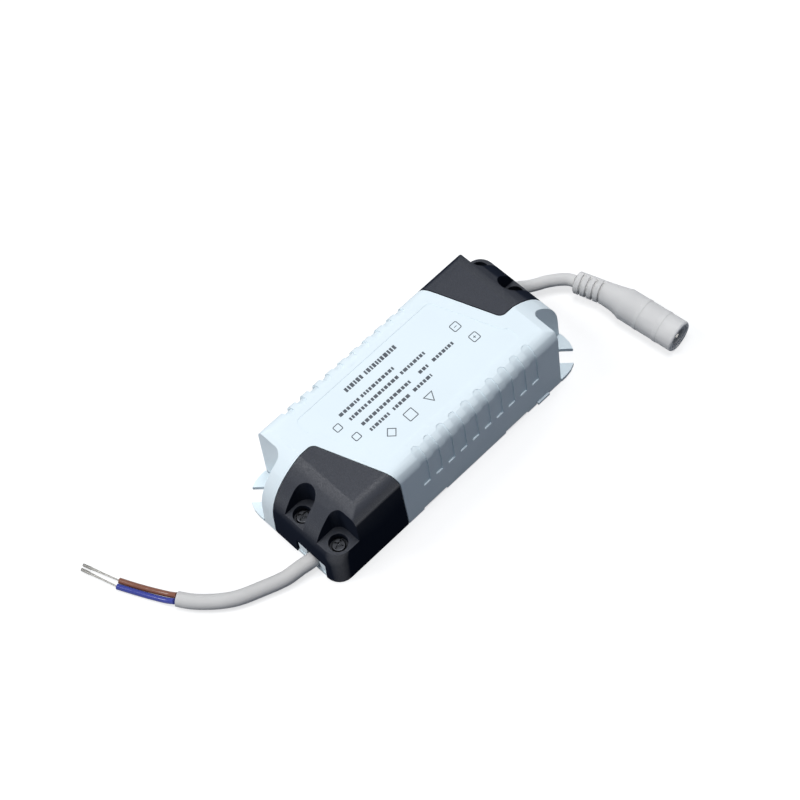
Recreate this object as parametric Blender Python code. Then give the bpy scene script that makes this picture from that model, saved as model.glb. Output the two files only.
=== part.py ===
"""An LED driver: a moulded case with two screwed terminal covers, a mains lead and an output lead with a socket.

Units are metres and Z points up. The case stands on Z = 0 with its long side along X.
The mains lead leaves at -X and the output lead at +X. The case is the same after half a turn about Z.
"""

import math

import bmesh
import bpy
from mathutils import Matrix, Vector
from mathutils.geometry import interpolate_bezier

# Case, outside.
LENGTH = 0.104
WIDTH = 0.043
HEIGHT = 0.028
SIDE_LEAN = math.radians(2.0)
END_LEAN = math.radians(2.9)
EDGE_RADIUS = 0.0048
CORNER_RADIUS = 0.0048
END_ARC_RADIUS = 0.021
CREASE_ANGLE = math.radians(20.0)

# Walls and the gaps between pieces that touch.
WALL = 0.0018
COVER_WALL = 0.0016
BULKHEAD_WALL = 0.0014
GAP = 0.0003
REBATE = 0.0004
WALL_FOOT = 0.0003
FLOOR = 0.0015
LIP_WALL = 0.0012
LIP_TOP = 0.0038

# Terminal covers, seen from above: a straight inner edge and a slanting one.
COVER_LENGTH = 0.0207
COVER_SHOULDER = 0.0046
COVER_SLANT = math.radians(19.7)
COVER_CORNER = 0.0025

# Wells over the cover screws, and the screws.
WELL_FLOOR = 0.0152
WELL_FLOOR_WALL = 0.0014
WELL_WALL = 0.0013
WELL_LENGTH = 0.0104
INNER_WELL_RADIUS = 0.0037
OUTER_WELL_WIDTH = 0.0089
OUTER_WELL_CORNER = 0.003
INNER_SCREW_FROM_END = 0.0051
INNER_SCREW_Y = 0.0032
OUTER_SCREW_FROM_END = 0.0059
OUTER_SCREW_FROM_SIDE = 0.0045
HEAD_DIAMETER = 0.0046
HEAD_HEIGHT = 0.0016
COUNTERBORE_DIAMETER = 0.0058
SEAT_HEIGHT = 0.0122
SHANK_DIAMETER = 0.0022
THREAD_CLEARANCE = 0.0003
BOSS_DIAMETER = 0.0078
BOSS_FOOT = 0.0103
POST_DIAMETER = 0.0047
POST_TOP = 0.0072
CLAMP_THICKNESS = BOSS_FOOT - POST_TOP - 2 * GAP
CLAMP_WIDTH = 0.0050
CLAMP_CORNER = 0.0016
SADDLE_FOOT = FLOOR + GAP + 0.0001

# Fixing ears and the scoops above them.
EAR_SIZE = 0.0116
SCOOP_CORNER = 0.003
EAR_CORNER = 0.0094
EAR_SLOT_WIDTH = 0.0049
EAR_SLOT_DEPTH = 0.0079

# Grip grooves on the long sides.
GROOVE_PITCH = 0.00498
GROOVES_FROM_COVER_END = 0.0374
GROOVES_FROM_EAR_END = 0.0218
GROOVE_WIDTH = 0.0027
GROOVE_FLOOR = 0.0125
GROOVE_REACH = 0.0052
GROOVE_DEPTH_SIDE = 0.0009
GROOVE_DEPTH_TOP = 0.0003

# Label recess in the top.
LABEL_DEPTH = 0.00012
LABEL_END_MARGIN = 0.0202
LABEL_SIDE_MARGIN = 0.0075
LABEL_MARGIN = 0.0037
LABEL_CORNER = 0.002

# Cable outlets.
OUTLET_WIDTH = 0.0122
OUTLET_HEIGHT = 0.007
SADDLE_OFFSET = 0.0005
SADDLE_THICKNESS = 0.0012
SADDLE_TOP = 0.0062
JACKET_DIAMETER = 0.0046
CORE_DIAMETER = 0.0018
TIP_DIAMETER = 0.0012
OUTPUT_DIAMETER = 0.0039
SADDLE_SLOT = JACKET_DIAMETER + 2 * GAP + 0.0002

# Circuit board.
BOARD_END_MARGIN = 0.0143
BOARD_SIDE_GAP = 0.0024
BOARD_THICKNESS = 0.0016
BOARD_FOOT = 0.0034
BOARD_TOP = BOARD_FOOT + BOARD_THICKNESS
BULKHEAD_FOOT = BOARD_TOP + 0.0006
STANDOFF_DIAMETER = 0.004
STANDOFF_INSET = 0.004

# Socket at the end of the output lead.
SOCKET_LENGTH = 0.0365
SOCKET_DIAMETER = 0.0104
SOCKET_FRONT = (0.0213, -0.0496, 0.0054)
SOCKET_HEADING = math.radians(-83.9)
RELIEF_LENGTH = 0.0096
RELIEF_DIAMETER = 0.0073
RELIEF_BEND = math.radians(11.3)
RELIEF_BEND_START = 0.0080
RIBS = 4
RIB_SLOT = 0.0008
RIB_SLOT_DEPTH = 0.0008
SPINE_WIDTH = 0.0040
SPINE_TURN = math.radians(20.0)
WAIST_END = 0.0136
WAIST_DIAMETER = 0.0084
CONE_END = 0.0163
RING_RISE = 0.00012
RING_SPANS = ((0.0225, 0.0238), (0.0295, 0.0310))
SOCKET_BORE = 0.0055
SOCKET_PIN = 0.0021
SOCKET_WALL = 0.0012
MOUTH_DEPTH = 0.0100

# Routes of the two leads: how far out from the case's end, how far across from the saddle's middle, how high.
INPUT_ROUTE = (
    (-0.0095, 0.0000, 0.0042),
    (-0.0045, -0.0001, 0.0042),
    (0.0000, -0.0001, 0.0041),
    (0.0042, 0.0008, 0.0036),
    (0.0090, 0.0018, 0.0028),
    (0.0158, 0.0045, 0.0025),
    (0.0224, 0.0074, 0.0025),
    (0.0267, 0.0105, 0.0025),
    (0.0302, 0.0139, 0.0025),
    (0.0326, 0.0168, 0.0025),
    (0.0346, 0.0200, 0.0025),
)
BROWN_ROUTE = (
    (0.0340, 0.0210, 0.0024),
    (0.0352, 0.0234, 0.0015),
    (0.0379, 0.0286, 0.0011),
    (0.0402, 0.0332, 0.0011),
    (0.0423, 0.0378, 0.0011),
)
BLUE_ROUTE = (
    (0.0357, 0.0201, 0.0024),
    (0.0370, 0.0224, 0.0015),
    (0.0397, 0.0275, 0.0011),
    (0.0421, 0.0322, 0.0011),
    (0.0443, 0.0368, 0.0011),
)
BROWN_TIP_END = (0.0463, 0.0498, 0.0011)
BLUE_TIP_END = (0.0484, 0.0489, 0.0011)
OUTPUT_ROUTE = (
    (-0.0095, 0.0000, 0.0041),
    (-0.0045, 0.0003, 0.0041),
    (-0.0008, 0.0001, 0.0042),
    (0.0019, -0.0015, 0.0044),
    (0.0041, -0.0036, 0.0047),
    (0.0062, -0.0051, 0.0049),
    (0.0090, -0.0066, 0.0049),
    (0.0114, -0.0084, 0.0050),
    (0.0129, -0.0099, 0.0052),
    (0.0142, -0.01155, 0.0053),
    (0.01493, -0.01341, 0.0054),
)

# Places that follow from the sizes above.
SCOOP_X = LENGTH / 2 - EAR_SIZE
SCOOP_Y = WIDTH / 2 - EAR_SIZE
COVER_SLANT_X = LENGTH / 2 - COVER_LENGTH
COVER_INNER_Y = SCOOP_Y - COVER_SHOULDER
WELL_EDGE_X = LENGTH / 2 - WELL_LENGTH
OUTER_WELL_EDGE_Y = WIDTH / 2 - OUTER_WELL_WIDTH
INNER_SCREW = (-LENGTH / 2 + INNER_SCREW_FROM_END, -INNER_SCREW_Y)
OUTER_SCREW = (-LENGTH / 2 + OUTER_SCREW_FROM_END, -WIDTH / 2 + OUTER_SCREW_FROM_SIDE)
OUTLET_Y = -(INNER_SCREW[1] + OUTER_SCREW[1]) / 2
SADDLE_Y = OUTLET_Y + SADDLE_OFFSET
GROOVE_FIRST_X = -LENGTH / 2 + GROOVES_FROM_COVER_END
GROOVE_LAST_X = LENGTH / 2 - GROOVES_FROM_EAR_END
GROOVE_COUNT = 1 + round((GROOVE_LAST_X - GROOVE_FIRST_X) / GROOVE_PITCH)
GROOVE_APEX_Y = WIDTH / 2 - GROOVE_REACH
LABEL_HALF_LENGTH = LENGTH / 2 - LABEL_END_MARGIN
LABEL_HALF_WIDTH = WIDTH / 2 - LABEL_SIDE_MARGIN
BOARD_LENGTH = LENGTH - 2 * BOARD_END_MARGIN
BOARD_WIDTH = WIDTH - 2 * WALL - 2 * BOARD_SIDE_GAP
MIDDLE_ROOM = 2 * (COVER_SLANT_X - BULKHEAD_WALL)

FAR = 0.08
ARC_STEP = math.radians(15.0)
TOP = HEIGHT + 0.01
BELOW = -0.005

for stale in list(bpy.data.objects):
    bpy.data.objects.remove(stale, do_unlink=True)

product = bpy.data.collections.new("led_driver")
cutters = bpy.data.collections.new("cutters")
bpy.context.scene.collection.children.link(product)
bpy.context.scene.collection.children.link(cutters)
cutters.hide_render = True


def material(name, colour, roughness, metallic=0.0):
    made = bpy.data.materials.new(name)
    made.use_nodes = True
    shader = made.node_tree.nodes["Principled BSDF"]
    shader.inputs["Base Color"].default_value = (*colour, 1.0)
    shader.inputs["Roughness"].default_value = roughness
    shader.inputs["Metallic"].default_value = metallic
    made.diffuse_color = (*colour, 1.0)
    return made


def add_part(name, mesh_data, colour, roughness=0.5, metallic=0.0):
    """One named piece of the product with a material of its own."""
    part = bpy.data.objects.new(name, mesh_data)
    mesh_data.materials.clear()
    mesh_data.materials.append(material(name + "_material", colour, roughness, metallic))
    product.objects.link(part)
    return part


def add_cutter(name, mesh_data):
    helper = bpy.data.objects.new(name, mesh_data)
    helper.hide_render = True
    helper.display_type = "WIRE"
    cutters.objects.link(helper)
    return helper


def mesh_from(work, name):
    bmesh.ops.recalc_face_normals(work, faces=work.faces)
    made = bpy.data.meshes.new(name)
    work.to_mesh(made)
    work.free()
    return made


def rounded_outline(corners):
    """Points of a closed outline whose corners (x, y, radius) are rounded."""
    points = []
    count = len(corners)
    for i, (x, y, radius) in enumerate(corners):
        here = Vector((x, y))
        before = Vector(corners[i - 1][:2])
        after = Vector(corners[(i + 1) % count][:2])
        if radius <= 0:
            points.append(here)
            continue
        back = (before - here).normalized()
        ahead = (after - here).normalized()
        half = back.angle(ahead) / 2
        centre = here + (back + ahead).normalized() * (radius / math.sin(half))
        first = here + back * (radius / math.tan(half)) - centre
        last = here + ahead * (radius / math.tan(half)) - centre
        sweep = first.angle_signed(last)
        steps = max(1, round(abs(sweep) / ARC_STEP))
        for step in range(steps + 1):
            turn = Matrix.Rotation(-sweep * step / steps, 2)
            points.append(centre + turn @ first)
    return points


def add_prism(work, outline, bottom, top):
    """A closed upright prism over an outline, added to a bmesh."""
    low = [work.verts.new((x, y, bottom)) for x, y in outline]
    high = [work.verts.new((x, y, top)) for x, y in outline]
    work.faces.new(low)
    work.faces.new(high)
    for i in range(len(low)):
        j = (i + 1) % len(low)
        work.faces.new((low[i], low[j], high[j], high[i]))


def prism(name, outline, bottom, top):
    work = bmesh.new()
    add_prism(work, outline, bottom, top)
    return mesh_from(work, name)


def box_outline(x_from, x_to, y_from, y_to, radius=0.0):
    return rounded_outline(
        [(x_from, y_from, radius), (x_to, y_from, radius), (x_to, y_to, radius), (x_from, y_to, radius)]
    )


def box(name, x_from, x_to, y_from, y_to, bottom, top, radius=0.0):
    return prism(name, box_outline(x_from, x_to, y_from, y_to, radius), bottom, top)


def circle(x, y, radius, count=24):
    return [
        Vector((x + radius * math.cos(math.tau * k / count), y + radius * math.sin(math.tau * k / count)))
        for k in range(count)
    ]


def half_turned(outline):
    return [Vector((-x, -y)) for x, y in outline]


def both_ends(name, outline, bottom, top):
    """The same prism at one end and, after half a turn, at the other."""
    work = bmesh.new()
    add_prism(work, outline, bottom, top)
    add_prism(work, half_turned(outline), bottom, top)
    return mesh_from(work, name)


def boolean(target, other, operation):
    modifier = target.modifiers.new(other.name, "BOOLEAN")
    modifier.operation = operation
    modifier.solver = "EXACT"
    modifier.object = other
    return modifier


def cut(target, *others):
    for other in others:
        boolean(target, other, "DIFFERENCE")


def fuse(target, *others):
    for other in others:
        boolean(target, other, "UNION")


def evaluated_mesh(source, name):
    bpy.context.view_layer.update()
    graph = bpy.context.evaluated_depsgraph_get()
    return bpy.data.meshes.new_from_object(source.evaluated_get(graph), depsgraph=graph)


def revolved(name, profile, steps=24):
    """A body turned about Z from (radius, height) points that run from the axis round to the axis."""
    work = bmesh.new()
    points = [work.verts.new((radius, 0.0, height)) for radius, height in profile]
    edges = [work.edges.new(pair) for pair in zip(points, points[1:])]
    if profile[0][0] > 0:
        edges.append(work.edges.new((points[-1], points[0])))
    bmesh.ops.spin(
        work,
        geom=points + edges,
        cent=(0.0, 0.0, 0.0),
        axis=(0.0, 0.0, 1.0),
        angle=math.tau,
        steps=steps,
        use_merge=True,
    )
    bmesh.ops.remove_doubles(work, verts=work.verts, dist=1e-6)
    return mesh_from(work, name)


def smooth_route(points, spacing):
    """Evenly spaced points of a smooth curve through the route's own points."""
    stops = [Vector(p) for p in points]
    dense = []
    for i in range(len(stops) - 1):
        before = stops[max(i - 1, 0)]
        after = stops[min(i + 2, len(stops) - 1)]
        start = stops[i]
        end = stops[i + 1]
        span = (end - start).length
        leave = (end - before).normalized() * span / 3
        arrive = (after - start).normalized() * span / 3
        dense.extend(interpolate_bezier(start, start + leave, end - arrive, end, 13)[:-1])
    dense.append(stops[-1])
    lengths = [0.0]
    for a, b in zip(dense, dense[1:]):
        lengths.append(lengths[-1] + (b - a).length)
    count = max(2, round(lengths[-1] / spacing) + 1)
    spaced = []
    k = 0
    for step in range(count):
        target = lengths[-1] * step / (count - 1)
        while k < len(dense) - 2 and lengths[k + 1] < target:
            k += 1
        share = (target - lengths[k]) / (lengths[k + 1] - lengths[k])
        spaced.append(dense[k].lerp(dense[k + 1], min(share, 1.0)))
    return spaced


def from_outlet(point, end):
    """A place given from the cable outlet at the case's -X end (end = -1) or +X end (end = 1)."""
    out, across, height = point
    return Vector((end * (LENGTH / 2 + out), end * SADDLE_Y + across, height))


def route_from_outlet(route, end):
    return [from_outlet(point, end) for point in route]


def add_tube(name, points, diameter, colour, roughness=0.45, metallic=0.0, resolution=3):
    """A round lead along a route."""
    curve = bpy.data.curves.new(name, "CURVE")
    curve.dimensions = "3D"
    curve.bevel_depth = diameter / 2
    curve.bevel_resolution = resolution
    curve.use_fill_caps = True
    spline = curve.splines.new("POLY")
    spline.points.add(len(points) - 1)
    for point, place in zip(spline.points, points):
        point.co = (*place, 1.0)
    return add_part(name, curve, colour, roughness, metallic)


# The outer form: rounded rectangles at rising heights, drawn in as the walls lean and the ends curve over.
ARC_CENTRE_Z = HEIGHT - END_ARC_RADIUS * math.cos(CREASE_ANGLE)
ARC_FOOT_Z = ARC_CENTRE_Z + END_ARC_RADIUS * math.sin(END_LEAN)
ARC_CENTRE_X = LENGTH / 2 - END_ARC_RADIUS * math.cos(END_LEAN) - ARC_FOOT_Z * math.tan(END_LEAN)
CREASE_X = ARC_CENTRE_X + END_ARC_RADIUS * math.sin(CREASE_ANGLE)
EDGE_CENTRE_Z = HEIGHT - EDGE_RADIUS
EDGE_CENTRE_Y = WIDTH / 2 - EDGE_CENTRE_Z * math.tan(SIDE_LEAN) - EDGE_RADIUS / math.cos(SIDE_LEAN)


def half_length(z, inset=0.0):
    radius = END_ARC_RADIUS - inset
    foot = ARC_CENTRE_Z + radius * math.sin(END_LEAN)
    if z > foot:
        return ARC_CENTRE_X + math.sqrt(max(radius**2 - (z - ARC_CENTRE_Z) ** 2, 0.0))
    return ARC_CENTRE_X + radius * math.cos(END_LEAN) + (foot - z) * math.tan(END_LEAN)


def half_width(z, inset=0.0):
    radius = EDGE_RADIUS - inset
    foot = EDGE_CENTRE_Z + radius * math.sin(SIDE_LEAN)
    if z > foot:
        return EDGE_CENTRE_Y + math.sqrt(max(radius**2 - (z - EDGE_CENTRE_Z) ** 2, 0.0))
    return EDGE_CENTRE_Y + radius * math.cos(SIDE_LEAN) + (foot - z) * math.tan(SIDE_LEAN)


def form_levels(bottom, inset):
    top = HEIGHT - inset
    end_radius = END_ARC_RADIUS - inset
    edge_radius = EDGE_RADIUS - inset
    levels = [bottom, ARC_CENTRE_Z + end_radius * math.sin(END_LEAN)]
    steepest = math.asin((top - ARC_CENTRE_Z) / end_radius)
    levels += [ARC_CENTRE_Z + end_radius * math.sin(END_LEAN + (steepest - END_LEAN) * k / 8) for k in range(1, 8)]
    levels += [EDGE_CENTRE_Z + edge_radius * math.sin(math.radians(a)) for a in (2, 20, 40, 60, 75)]
    levels = sorted(z for z in levels if z < top - 0.00008)
    kept = [levels[0]]
    for z in levels[1:]:
        if z - kept[-1] > 0.00025:
            kept.append(z)
    return kept + [top]


def case_form(name, inset=0.0, bottom=WALL_FOOT):
    work = bmesh.new()
    rings = []
    for z in form_levels(bottom, inset):
        along = half_length(z, inset)
        across = half_width(z, inset)
        radius = min(CORNER_RADIUS - inset, max(0.0004, along - WELL_EDGE_X))
        ring = box_outline(-along, along, -across, across, radius)
        if len(ring) != 28:
            raise ValueError("each ring needs the same number of points")
        rings.append([work.verts.new((x, y, z)) for x, y in ring])
    work.faces.new(rings[0])
    work.faces.new(rings[-1])
    for low, high in zip(rings, rings[1:]):
        for i in range(len(low)):
            j = (i + 1) % len(low)
            work.faces.new((low[i], low[j], high[j], high[i]))
    return mesh_from(work, name)


def cover_outline(grow=0.0):
    """Plan of the terminal cover at the -X end, open-ended past the case, its inner edges moved out by grow."""
    slant = math.tan(COVER_SLANT)
    shift = grow / math.cos(COVER_SLANT)
    inner_y = COVER_INNER_Y + grow
    return rounded_outline(
        [
            (-FAR, -FAR, 0.0),
            (-COVER_SLANT_X + shift + FAR * slant, -FAR, 0.0),
            (-COVER_SLANT_X + shift - inner_y * slant, inner_y, COVER_CORNER + grow),
            (-FAR, inner_y, 0.0),
        ]
    )


def scoop_outline(grow=0.0):
    """Plan of the scoop above the fixing ear at the -X, +Y corner."""
    return rounded_outline(
        [
            (-FAR, SCOOP_Y - grow, 0.0),
            (-SCOOP_X + grow, SCOOP_Y - grow, SCOOP_CORNER + grow),
            (-SCOOP_X + grow, FAR, 0.0),
            (-FAR, FAR, 0.0),
        ]
    )


def inner_well_outline(grow=0.0):
    radius = INNER_WELL_RADIUS + grow
    edge = -WELL_EDGE_X + grow
    return rounded_outline(
        [
            (-FAR, -INNER_SCREW_Y - radius, 0.0),
            (edge, -INNER_SCREW_Y - radius, radius - 0.00001),
            (edge, -INNER_SCREW_Y + radius, radius - 0.00001),
            (-FAR, -INNER_SCREW_Y + radius, 0.0),
        ]
    )


def outer_well_outline(grow=0.0):
    edge_x = -WELL_EDGE_X + grow
    edge_y = -OUTER_WELL_EDGE_Y + grow
    return rounded_outline(
        [(-FAR, -FAR, 0.0), (edge_x, -FAR, 0.0), (edge_x, edge_y, OUTER_WELL_CORNER + grow), (-FAR, edge_y, 0.0)]
    )


# Cutters that several pieces share.
cover_spaces = add_cutter("cutter_cover_spaces", both_ends("cover_spaces", cover_outline(), BELOW, TOP))
scoops = add_cutter("cutter_scoops", both_ends("scoops", scoop_outline(), BELOW, TOP))
plate_along = LENGTH / 2 - WALL + REBATE
plate_across = WIDTH / 2 - WALL + REBATE
floor_space = add_cutter(
    "cutter_floor_space",
    box(
        "floor_space",
        -plate_along,
        plate_along,
        -plate_across,
        plate_across,
        BELOW,
        FLOOR + GAP,
        CORNER_RADIUS - WALL + REBATE,
    ),
)

# Room inside the middle of the case, less the bulkheads and the walls round the scoops.
main_room = add_cutter("cutter_main_room", case_form("main_room", WALL, BELOW))
bulkheads = add_cutter(
    "cutter_bulkheads", both_ends("bulkheads", cover_outline(BULKHEAD_WALL), BULKHEAD_FOOT, TOP)
)
scoop_walls = add_cutter("cutter_scoop_walls", both_ends("scoop_walls", scoop_outline(WALL), 2 * BELOW, TOP))
cut(main_room, bulkheads, scoop_walls)

# Grip grooves: slots with a round upper end that leave the wall standing behind them.
groove_work = bmesh.new()
for index in range(GROOVE_COUNT):
    groove_x = GROOVE_FIRST_X + index * GROOVE_PITCH
    half = GROOVE_WIDTH / 2
    groove = rounded_outline(
        [
            (groove_x - half, -FAR, 0.0),
            (groove_x + half, -FAR, 0.0),
            (groove_x + half, -GROOVE_APEX_Y, half - 0.00001),
            (groove_x - half, -GROOVE_APEX_Y, half - 0.00001),
        ]
    )
    add_prism(groove_work, groove, GROOVE_FLOOR, TOP)
    add_prism(groove_work, half_turned(groove), GROOVE_FLOOR, TOP)
grooves = add_cutter("cutter_grooves", mesh_from(groove_work, "grooves"))


def groove_core():
    """The form that the grooves leave: the case's cross-section drawn in, more at the sides than on top."""
    work = bmesh.new()
    outline = []
    for k in range(7):
        angle = SIDE_LEAN + (math.pi / 2 - SIDE_LEAN) * k / 6
        radius = EDGE_RADIUS - GROOVE_DEPTH_TOP
        centre_y = EDGE_CENTRE_Y - GROOVE_DEPTH_SIDE + GROOVE_DEPTH_TOP
        outline.append((centre_y + radius * math.cos(angle), EDGE_CENTRE_Z + radius * math.sin(angle)))
    foot_y = outline[0][0] + (outline[0][1] - BELOW) * math.tan(SIDE_LEAN)
    right = [(foot_y, BELOW)] + outline
    section = right + [(-y, z) for y, z in reversed(right)]
    near = [work.verts.new((-FAR, y, z)) for y, z in section]
    far = [work.verts.new((FAR, y, z)) for y, z in section]
    work.faces.new(near)
    work.faces.new(far)
    for i in range(len(near)):
        j = (i + 1) % len(near)
        work.faces.new((near[i], near[j], far[j], far[i]))
    return mesh_from(work, "groove_core")


cut(grooves, add_cutter("cutter_groove_core", groove_core()))

# Label recess: as wide as the flat top allows, and stepped round both terminal covers.
label_reach = COVER_INNER_Y + LABEL_MARGIN
label_slant_x = COVER_SLANT_X - LABEL_MARGIN / math.cos(COVER_SLANT)
label_slant = math.tan(COVER_SLANT)
label_half = [
    (label_slant_x - LABEL_HALF_WIDTH * label_slant, LABEL_HALF_WIDTH, LABEL_CORNER),
    (-LABEL_HALF_LENGTH, LABEL_HALF_WIDTH, LABEL_CORNER),
    (-LABEL_HALF_LENGTH, label_reach, 0.0006),
    (-label_slant_x - label_reach * label_slant, label_reach, LABEL_CORNER),
]
label_outline = rounded_outline(label_half + [(-x, -y, r) for x, y, r in label_half])
label_recess = add_cutter(
    "cutter_label_recess", prism("label_recess", label_outline, HEIGHT - LABEL_DEPTH, TOP)
)

# Snap recesses along the bottom edge, and slots for the tray's tabs.
TAB_FROM_END = 0.0170
TAB_LENGTH = 0.0048
TAB_TOP = 0.0012
TAB_REACH = 0.0005
SNAP_FROM_COVER_END = 0.0345
SNAP_FROM_EAR_END = 0.0258
SNAP_LENGTH = 0.0095
SNAP_HEIGHT = 0.0011
SNAP_DEPTH = 0.0004
TAB_X = (LENGTH / 2 - TAB_FROM_END - TAB_LENGTH, LENGTH / 2 - TAB_FROM_END)
edge_work = bmesh.new()
for low_x in (-LENGTH / 2 + SNAP_FROM_COVER_END, LENGTH / 2 - SNAP_FROM_EAR_END - SNAP_LENGTH):
    strip = box_outline(low_x, low_x + SNAP_LENGTH, -FAR, -WIDTH / 2 + SNAP_DEPTH)
    add_prism(edge_work, strip, BELOW, SNAP_HEIGHT)
    add_prism(edge_work, half_turned(strip), BELOW, SNAP_HEIGHT)
tab_slot = box_outline(TAB_X[0] - GAP, TAB_X[1] + GAP, -FAR, -WIDTH / 2 + 2 * WALL)
add_prism(edge_work, tab_slot, BELOW, TAB_TOP + GAP)
add_prism(edge_work, half_turned(tab_slot), BELOW, TAB_TOP + GAP)
bottom_edge = add_cutter("cutter_bottom_edge", mesh_from(edge_work, "bottom_edge"))

# Middle of the case, one white moulding.
WHITE = (0.78, 0.79, 0.82)
top_cover = add_part("top_cover", case_form("top_cover"), WHITE, 0.42)
cut(top_cover, cover_spaces, scoops, main_room, floor_space, grooves, label_recess, bottom_edge)

# Terminal cover at the -X end, with two screw wells and the cable outlet.
BLACK = (0.012, 0.012, 0.013)
own_space = add_cutter("cutter_own_space", prism("own_space", cover_outline(-GAP), BELOW, TOP))
cover_room = add_cutter("cutter_cover_room", case_form("cover_room", COVER_WALL, BELOW))
screw_places = (INNER_SCREW, OUTER_SCREW)
lump_work = bmesh.new()
add_prism(lump_work, inner_well_outline(WELL_WALL), WELL_FLOOR - WELL_FLOOR_WALL, TOP)
inner_lump = add_cutter("cutter_inner_lump", mesh_from(lump_work, "inner_lump"))
outer_lump = add_cutter(
    "cutter_outer_lump",
    prism("outer_lump", outer_well_outline(WELL_WALL), WELL_FLOOR - WELL_FLOOR_WALL, TOP),
)
boss_work = bmesh.new()
for x, y in screw_places:
    add_prism(boss_work, circle(x, y, BOSS_DIAMETER / 2), BOSS_FOOT, WELL_FLOOR - 0.0004)
bosses = add_cutter("cutter_bosses", mesh_from(boss_work, "bosses"))
cut(cover_room, inner_lump, outer_lump, bosses)
inner_well = add_cutter("cutter_inner_well", prism("inner_well", inner_well_outline(), WELL_FLOOR, TOP))
outer_well = add_cutter("cutter_outer_well", prism("outer_well", outer_well_outline(), WELL_FLOOR, TOP))
bore_work = bmesh.new()
for x, y in screw_places:
    add_prism(bore_work, circle(x, y, COUNTERBORE_DIAMETER / 2), SEAT_HEIGHT, WELL_FLOOR + 0.001)
counterbores = add_cutter("cutter_counterbores", mesh_from(bore_work, "counterbores"))
hole_work = bmesh.new()
for x, y in screw_places:
    add_prism(hole_work, circle(x, y, SHANK_DIAMETER / 2 + THREAD_CLEARANCE, 16), BELOW, SEAT_HEIGHT + 0.001)
screw_holes = add_cutter("cutter_screw_holes", mesh_from(hole_work, "screw_holes"))
outlet = add_cutter(
    "cutter_outlet",
    box(
        "outlet",
        -FAR,
        -LENGTH / 2 + 2.5 * COVER_WALL,
        -OUTLET_Y - OUTLET_WIDTH / 2,
        -OUTLET_Y + OUTLET_WIDTH / 2,
        BELOW,
        OUTLET_HEIGHT,
    ),
)
input_cover = add_part("input_terminal_cover", case_form("input_terminal_cover"), BLACK, 0.6)
boolean(input_cover, own_space, "INTERSECT")
cut(input_cover, cover_room, floor_space, inner_well, outer_well, counterbores, screw_holes, outlet)

output_mesh = evaluated_mesh(input_cover, "output_terminal_cover")
output_mesh.transform(Matrix.Rotation(math.pi, 4, "Z"))
add_part("output_terminal_cover", output_mesh, BLACK, 0.6)

# Base tray: a floor with fixing ears, an inner lip, screw posts, board standoffs and cable saddles.
edge_x = plate_along - GAP
edge_y = plate_across - GAP
tongue_low = -OUTLET_Y - OUTLET_WIDTH / 2 + GAP
tongue_high = -OUTLET_Y + OUTLET_WIDTH / 2 - GAP
plate_corner = CORNER_RADIUS - WALL + REBATE - GAP
ear_y = SCOOP_Y + GAP
ear_x = SCOOP_X + GAP
plate_half = [
    (-edge_x, -edge_y, plate_corner),
    (ear_x, -edge_y, 0.0),
    (ear_x, -WIDTH / 2, 0.0),
    (LENGTH / 2, -WIDTH / 2, EAR_CORNER),
    (LENGTH / 2, -ear_y, 0.0),
    (edge_x, -ear_y, 0.0),
    (edge_x, -tongue_high, 0.0),
    (LENGTH / 2 - GAP, -tongue_high, 0.0),
    (LENGTH / 2 - GAP, -tongue_low, 0.0),
    (edge_x, -tongue_low, 0.0),
]
tray_outline = rounded_outline(plate_half + [(-x, -y, r) for x, y, r in plate_half])
base_tray = add_part("base_tray", prism("base_tray", tray_outline, 0.0, FLOOR), WHITE, 0.45)

lip_along = LENGTH / 2 - WALL - GAP - FLOOR * math.tan(END_LEAN)
lip_across = WIDTH / 2 - WALL - GAP - LIP_TOP * math.tan(SIDE_LEAN)
lip_ring = add_cutter(
    "cutter_lip",
    box("lip", -lip_along, lip_along, -lip_across, lip_across, FLOOR / 2, LIP_TOP, CORNER_RADIUS - WALL - GAP),
)
lip_hollow = add_cutter(
    "cutter_lip_hollow",
    box(
        "lip_hollow",
        -lip_along + LIP_WALL,
        lip_along - LIP_WALL,
        -lip_across + LIP_WALL,
        lip_across - LIP_WALL,
        FLOOR / 4,
        TOP,
        CORNER_RADIUS - WALL - GAP - LIP_WALL,
    ),
)
lip_corner = scoop_outline(WALL + GAP)
lip_gaps = add_cutter("cutter_lip_gaps", both_ends("lip_gaps", lip_corner, FLOOR / 4, TOP))
lip_outlet = box_outline(-FAR, -lip_along + 2 * LIP_WALL, tongue_low - GAP, tongue_high + GAP)
lip_outlets = add_cutter("cutter_lip_outlets", both_ends("lip_outlets", lip_outlet, FLOOR / 4, TOP))
cut(lip_ring, lip_hollow, lip_gaps, lip_outlets)

post_work = bmesh.new()
for x, y in screw_places:
    add_prism(post_work, circle(x, y, POST_DIAMETER / 2), FLOOR / 3, POST_TOP)
    add_prism(post_work, circle(-x, -y, POST_DIAMETER / 2), FLOOR / 3, POST_TOP)
posts = add_cutter("cutter_posts", mesh_from(post_work, "posts"))
pilot_work = bmesh.new()
for x, y in screw_places:
    add_prism(pilot_work, circle(x, y, SHANK_DIAMETER / 2 + THREAD_CLEARANCE, 16), FLOOR + 0.0004, TOP)
    add_prism(pilot_work, circle(-x, -y, SHANK_DIAMETER / 2 + THREAD_CLEARANCE, 16), FLOOR + 0.0004, TOP)
pilots = add_cutter("cutter_pilots", mesh_from(pilot_work, "pilots"))
standoff_x = BOARD_LENGTH / 2 - STANDOFF_INSET
standoff_y = BOARD_WIDTH / 2 - STANDOFF_INSET
standoff_work = bmesh.new()
for x in (-standoff_x, standoff_x):
    for y in (-standoff_y, standoff_y):
        add_prism(standoff_work, circle(x, y, STANDOFF_DIAMETER / 2, 16), FLOOR / 3, BOARD_FOOT - GAP)
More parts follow.
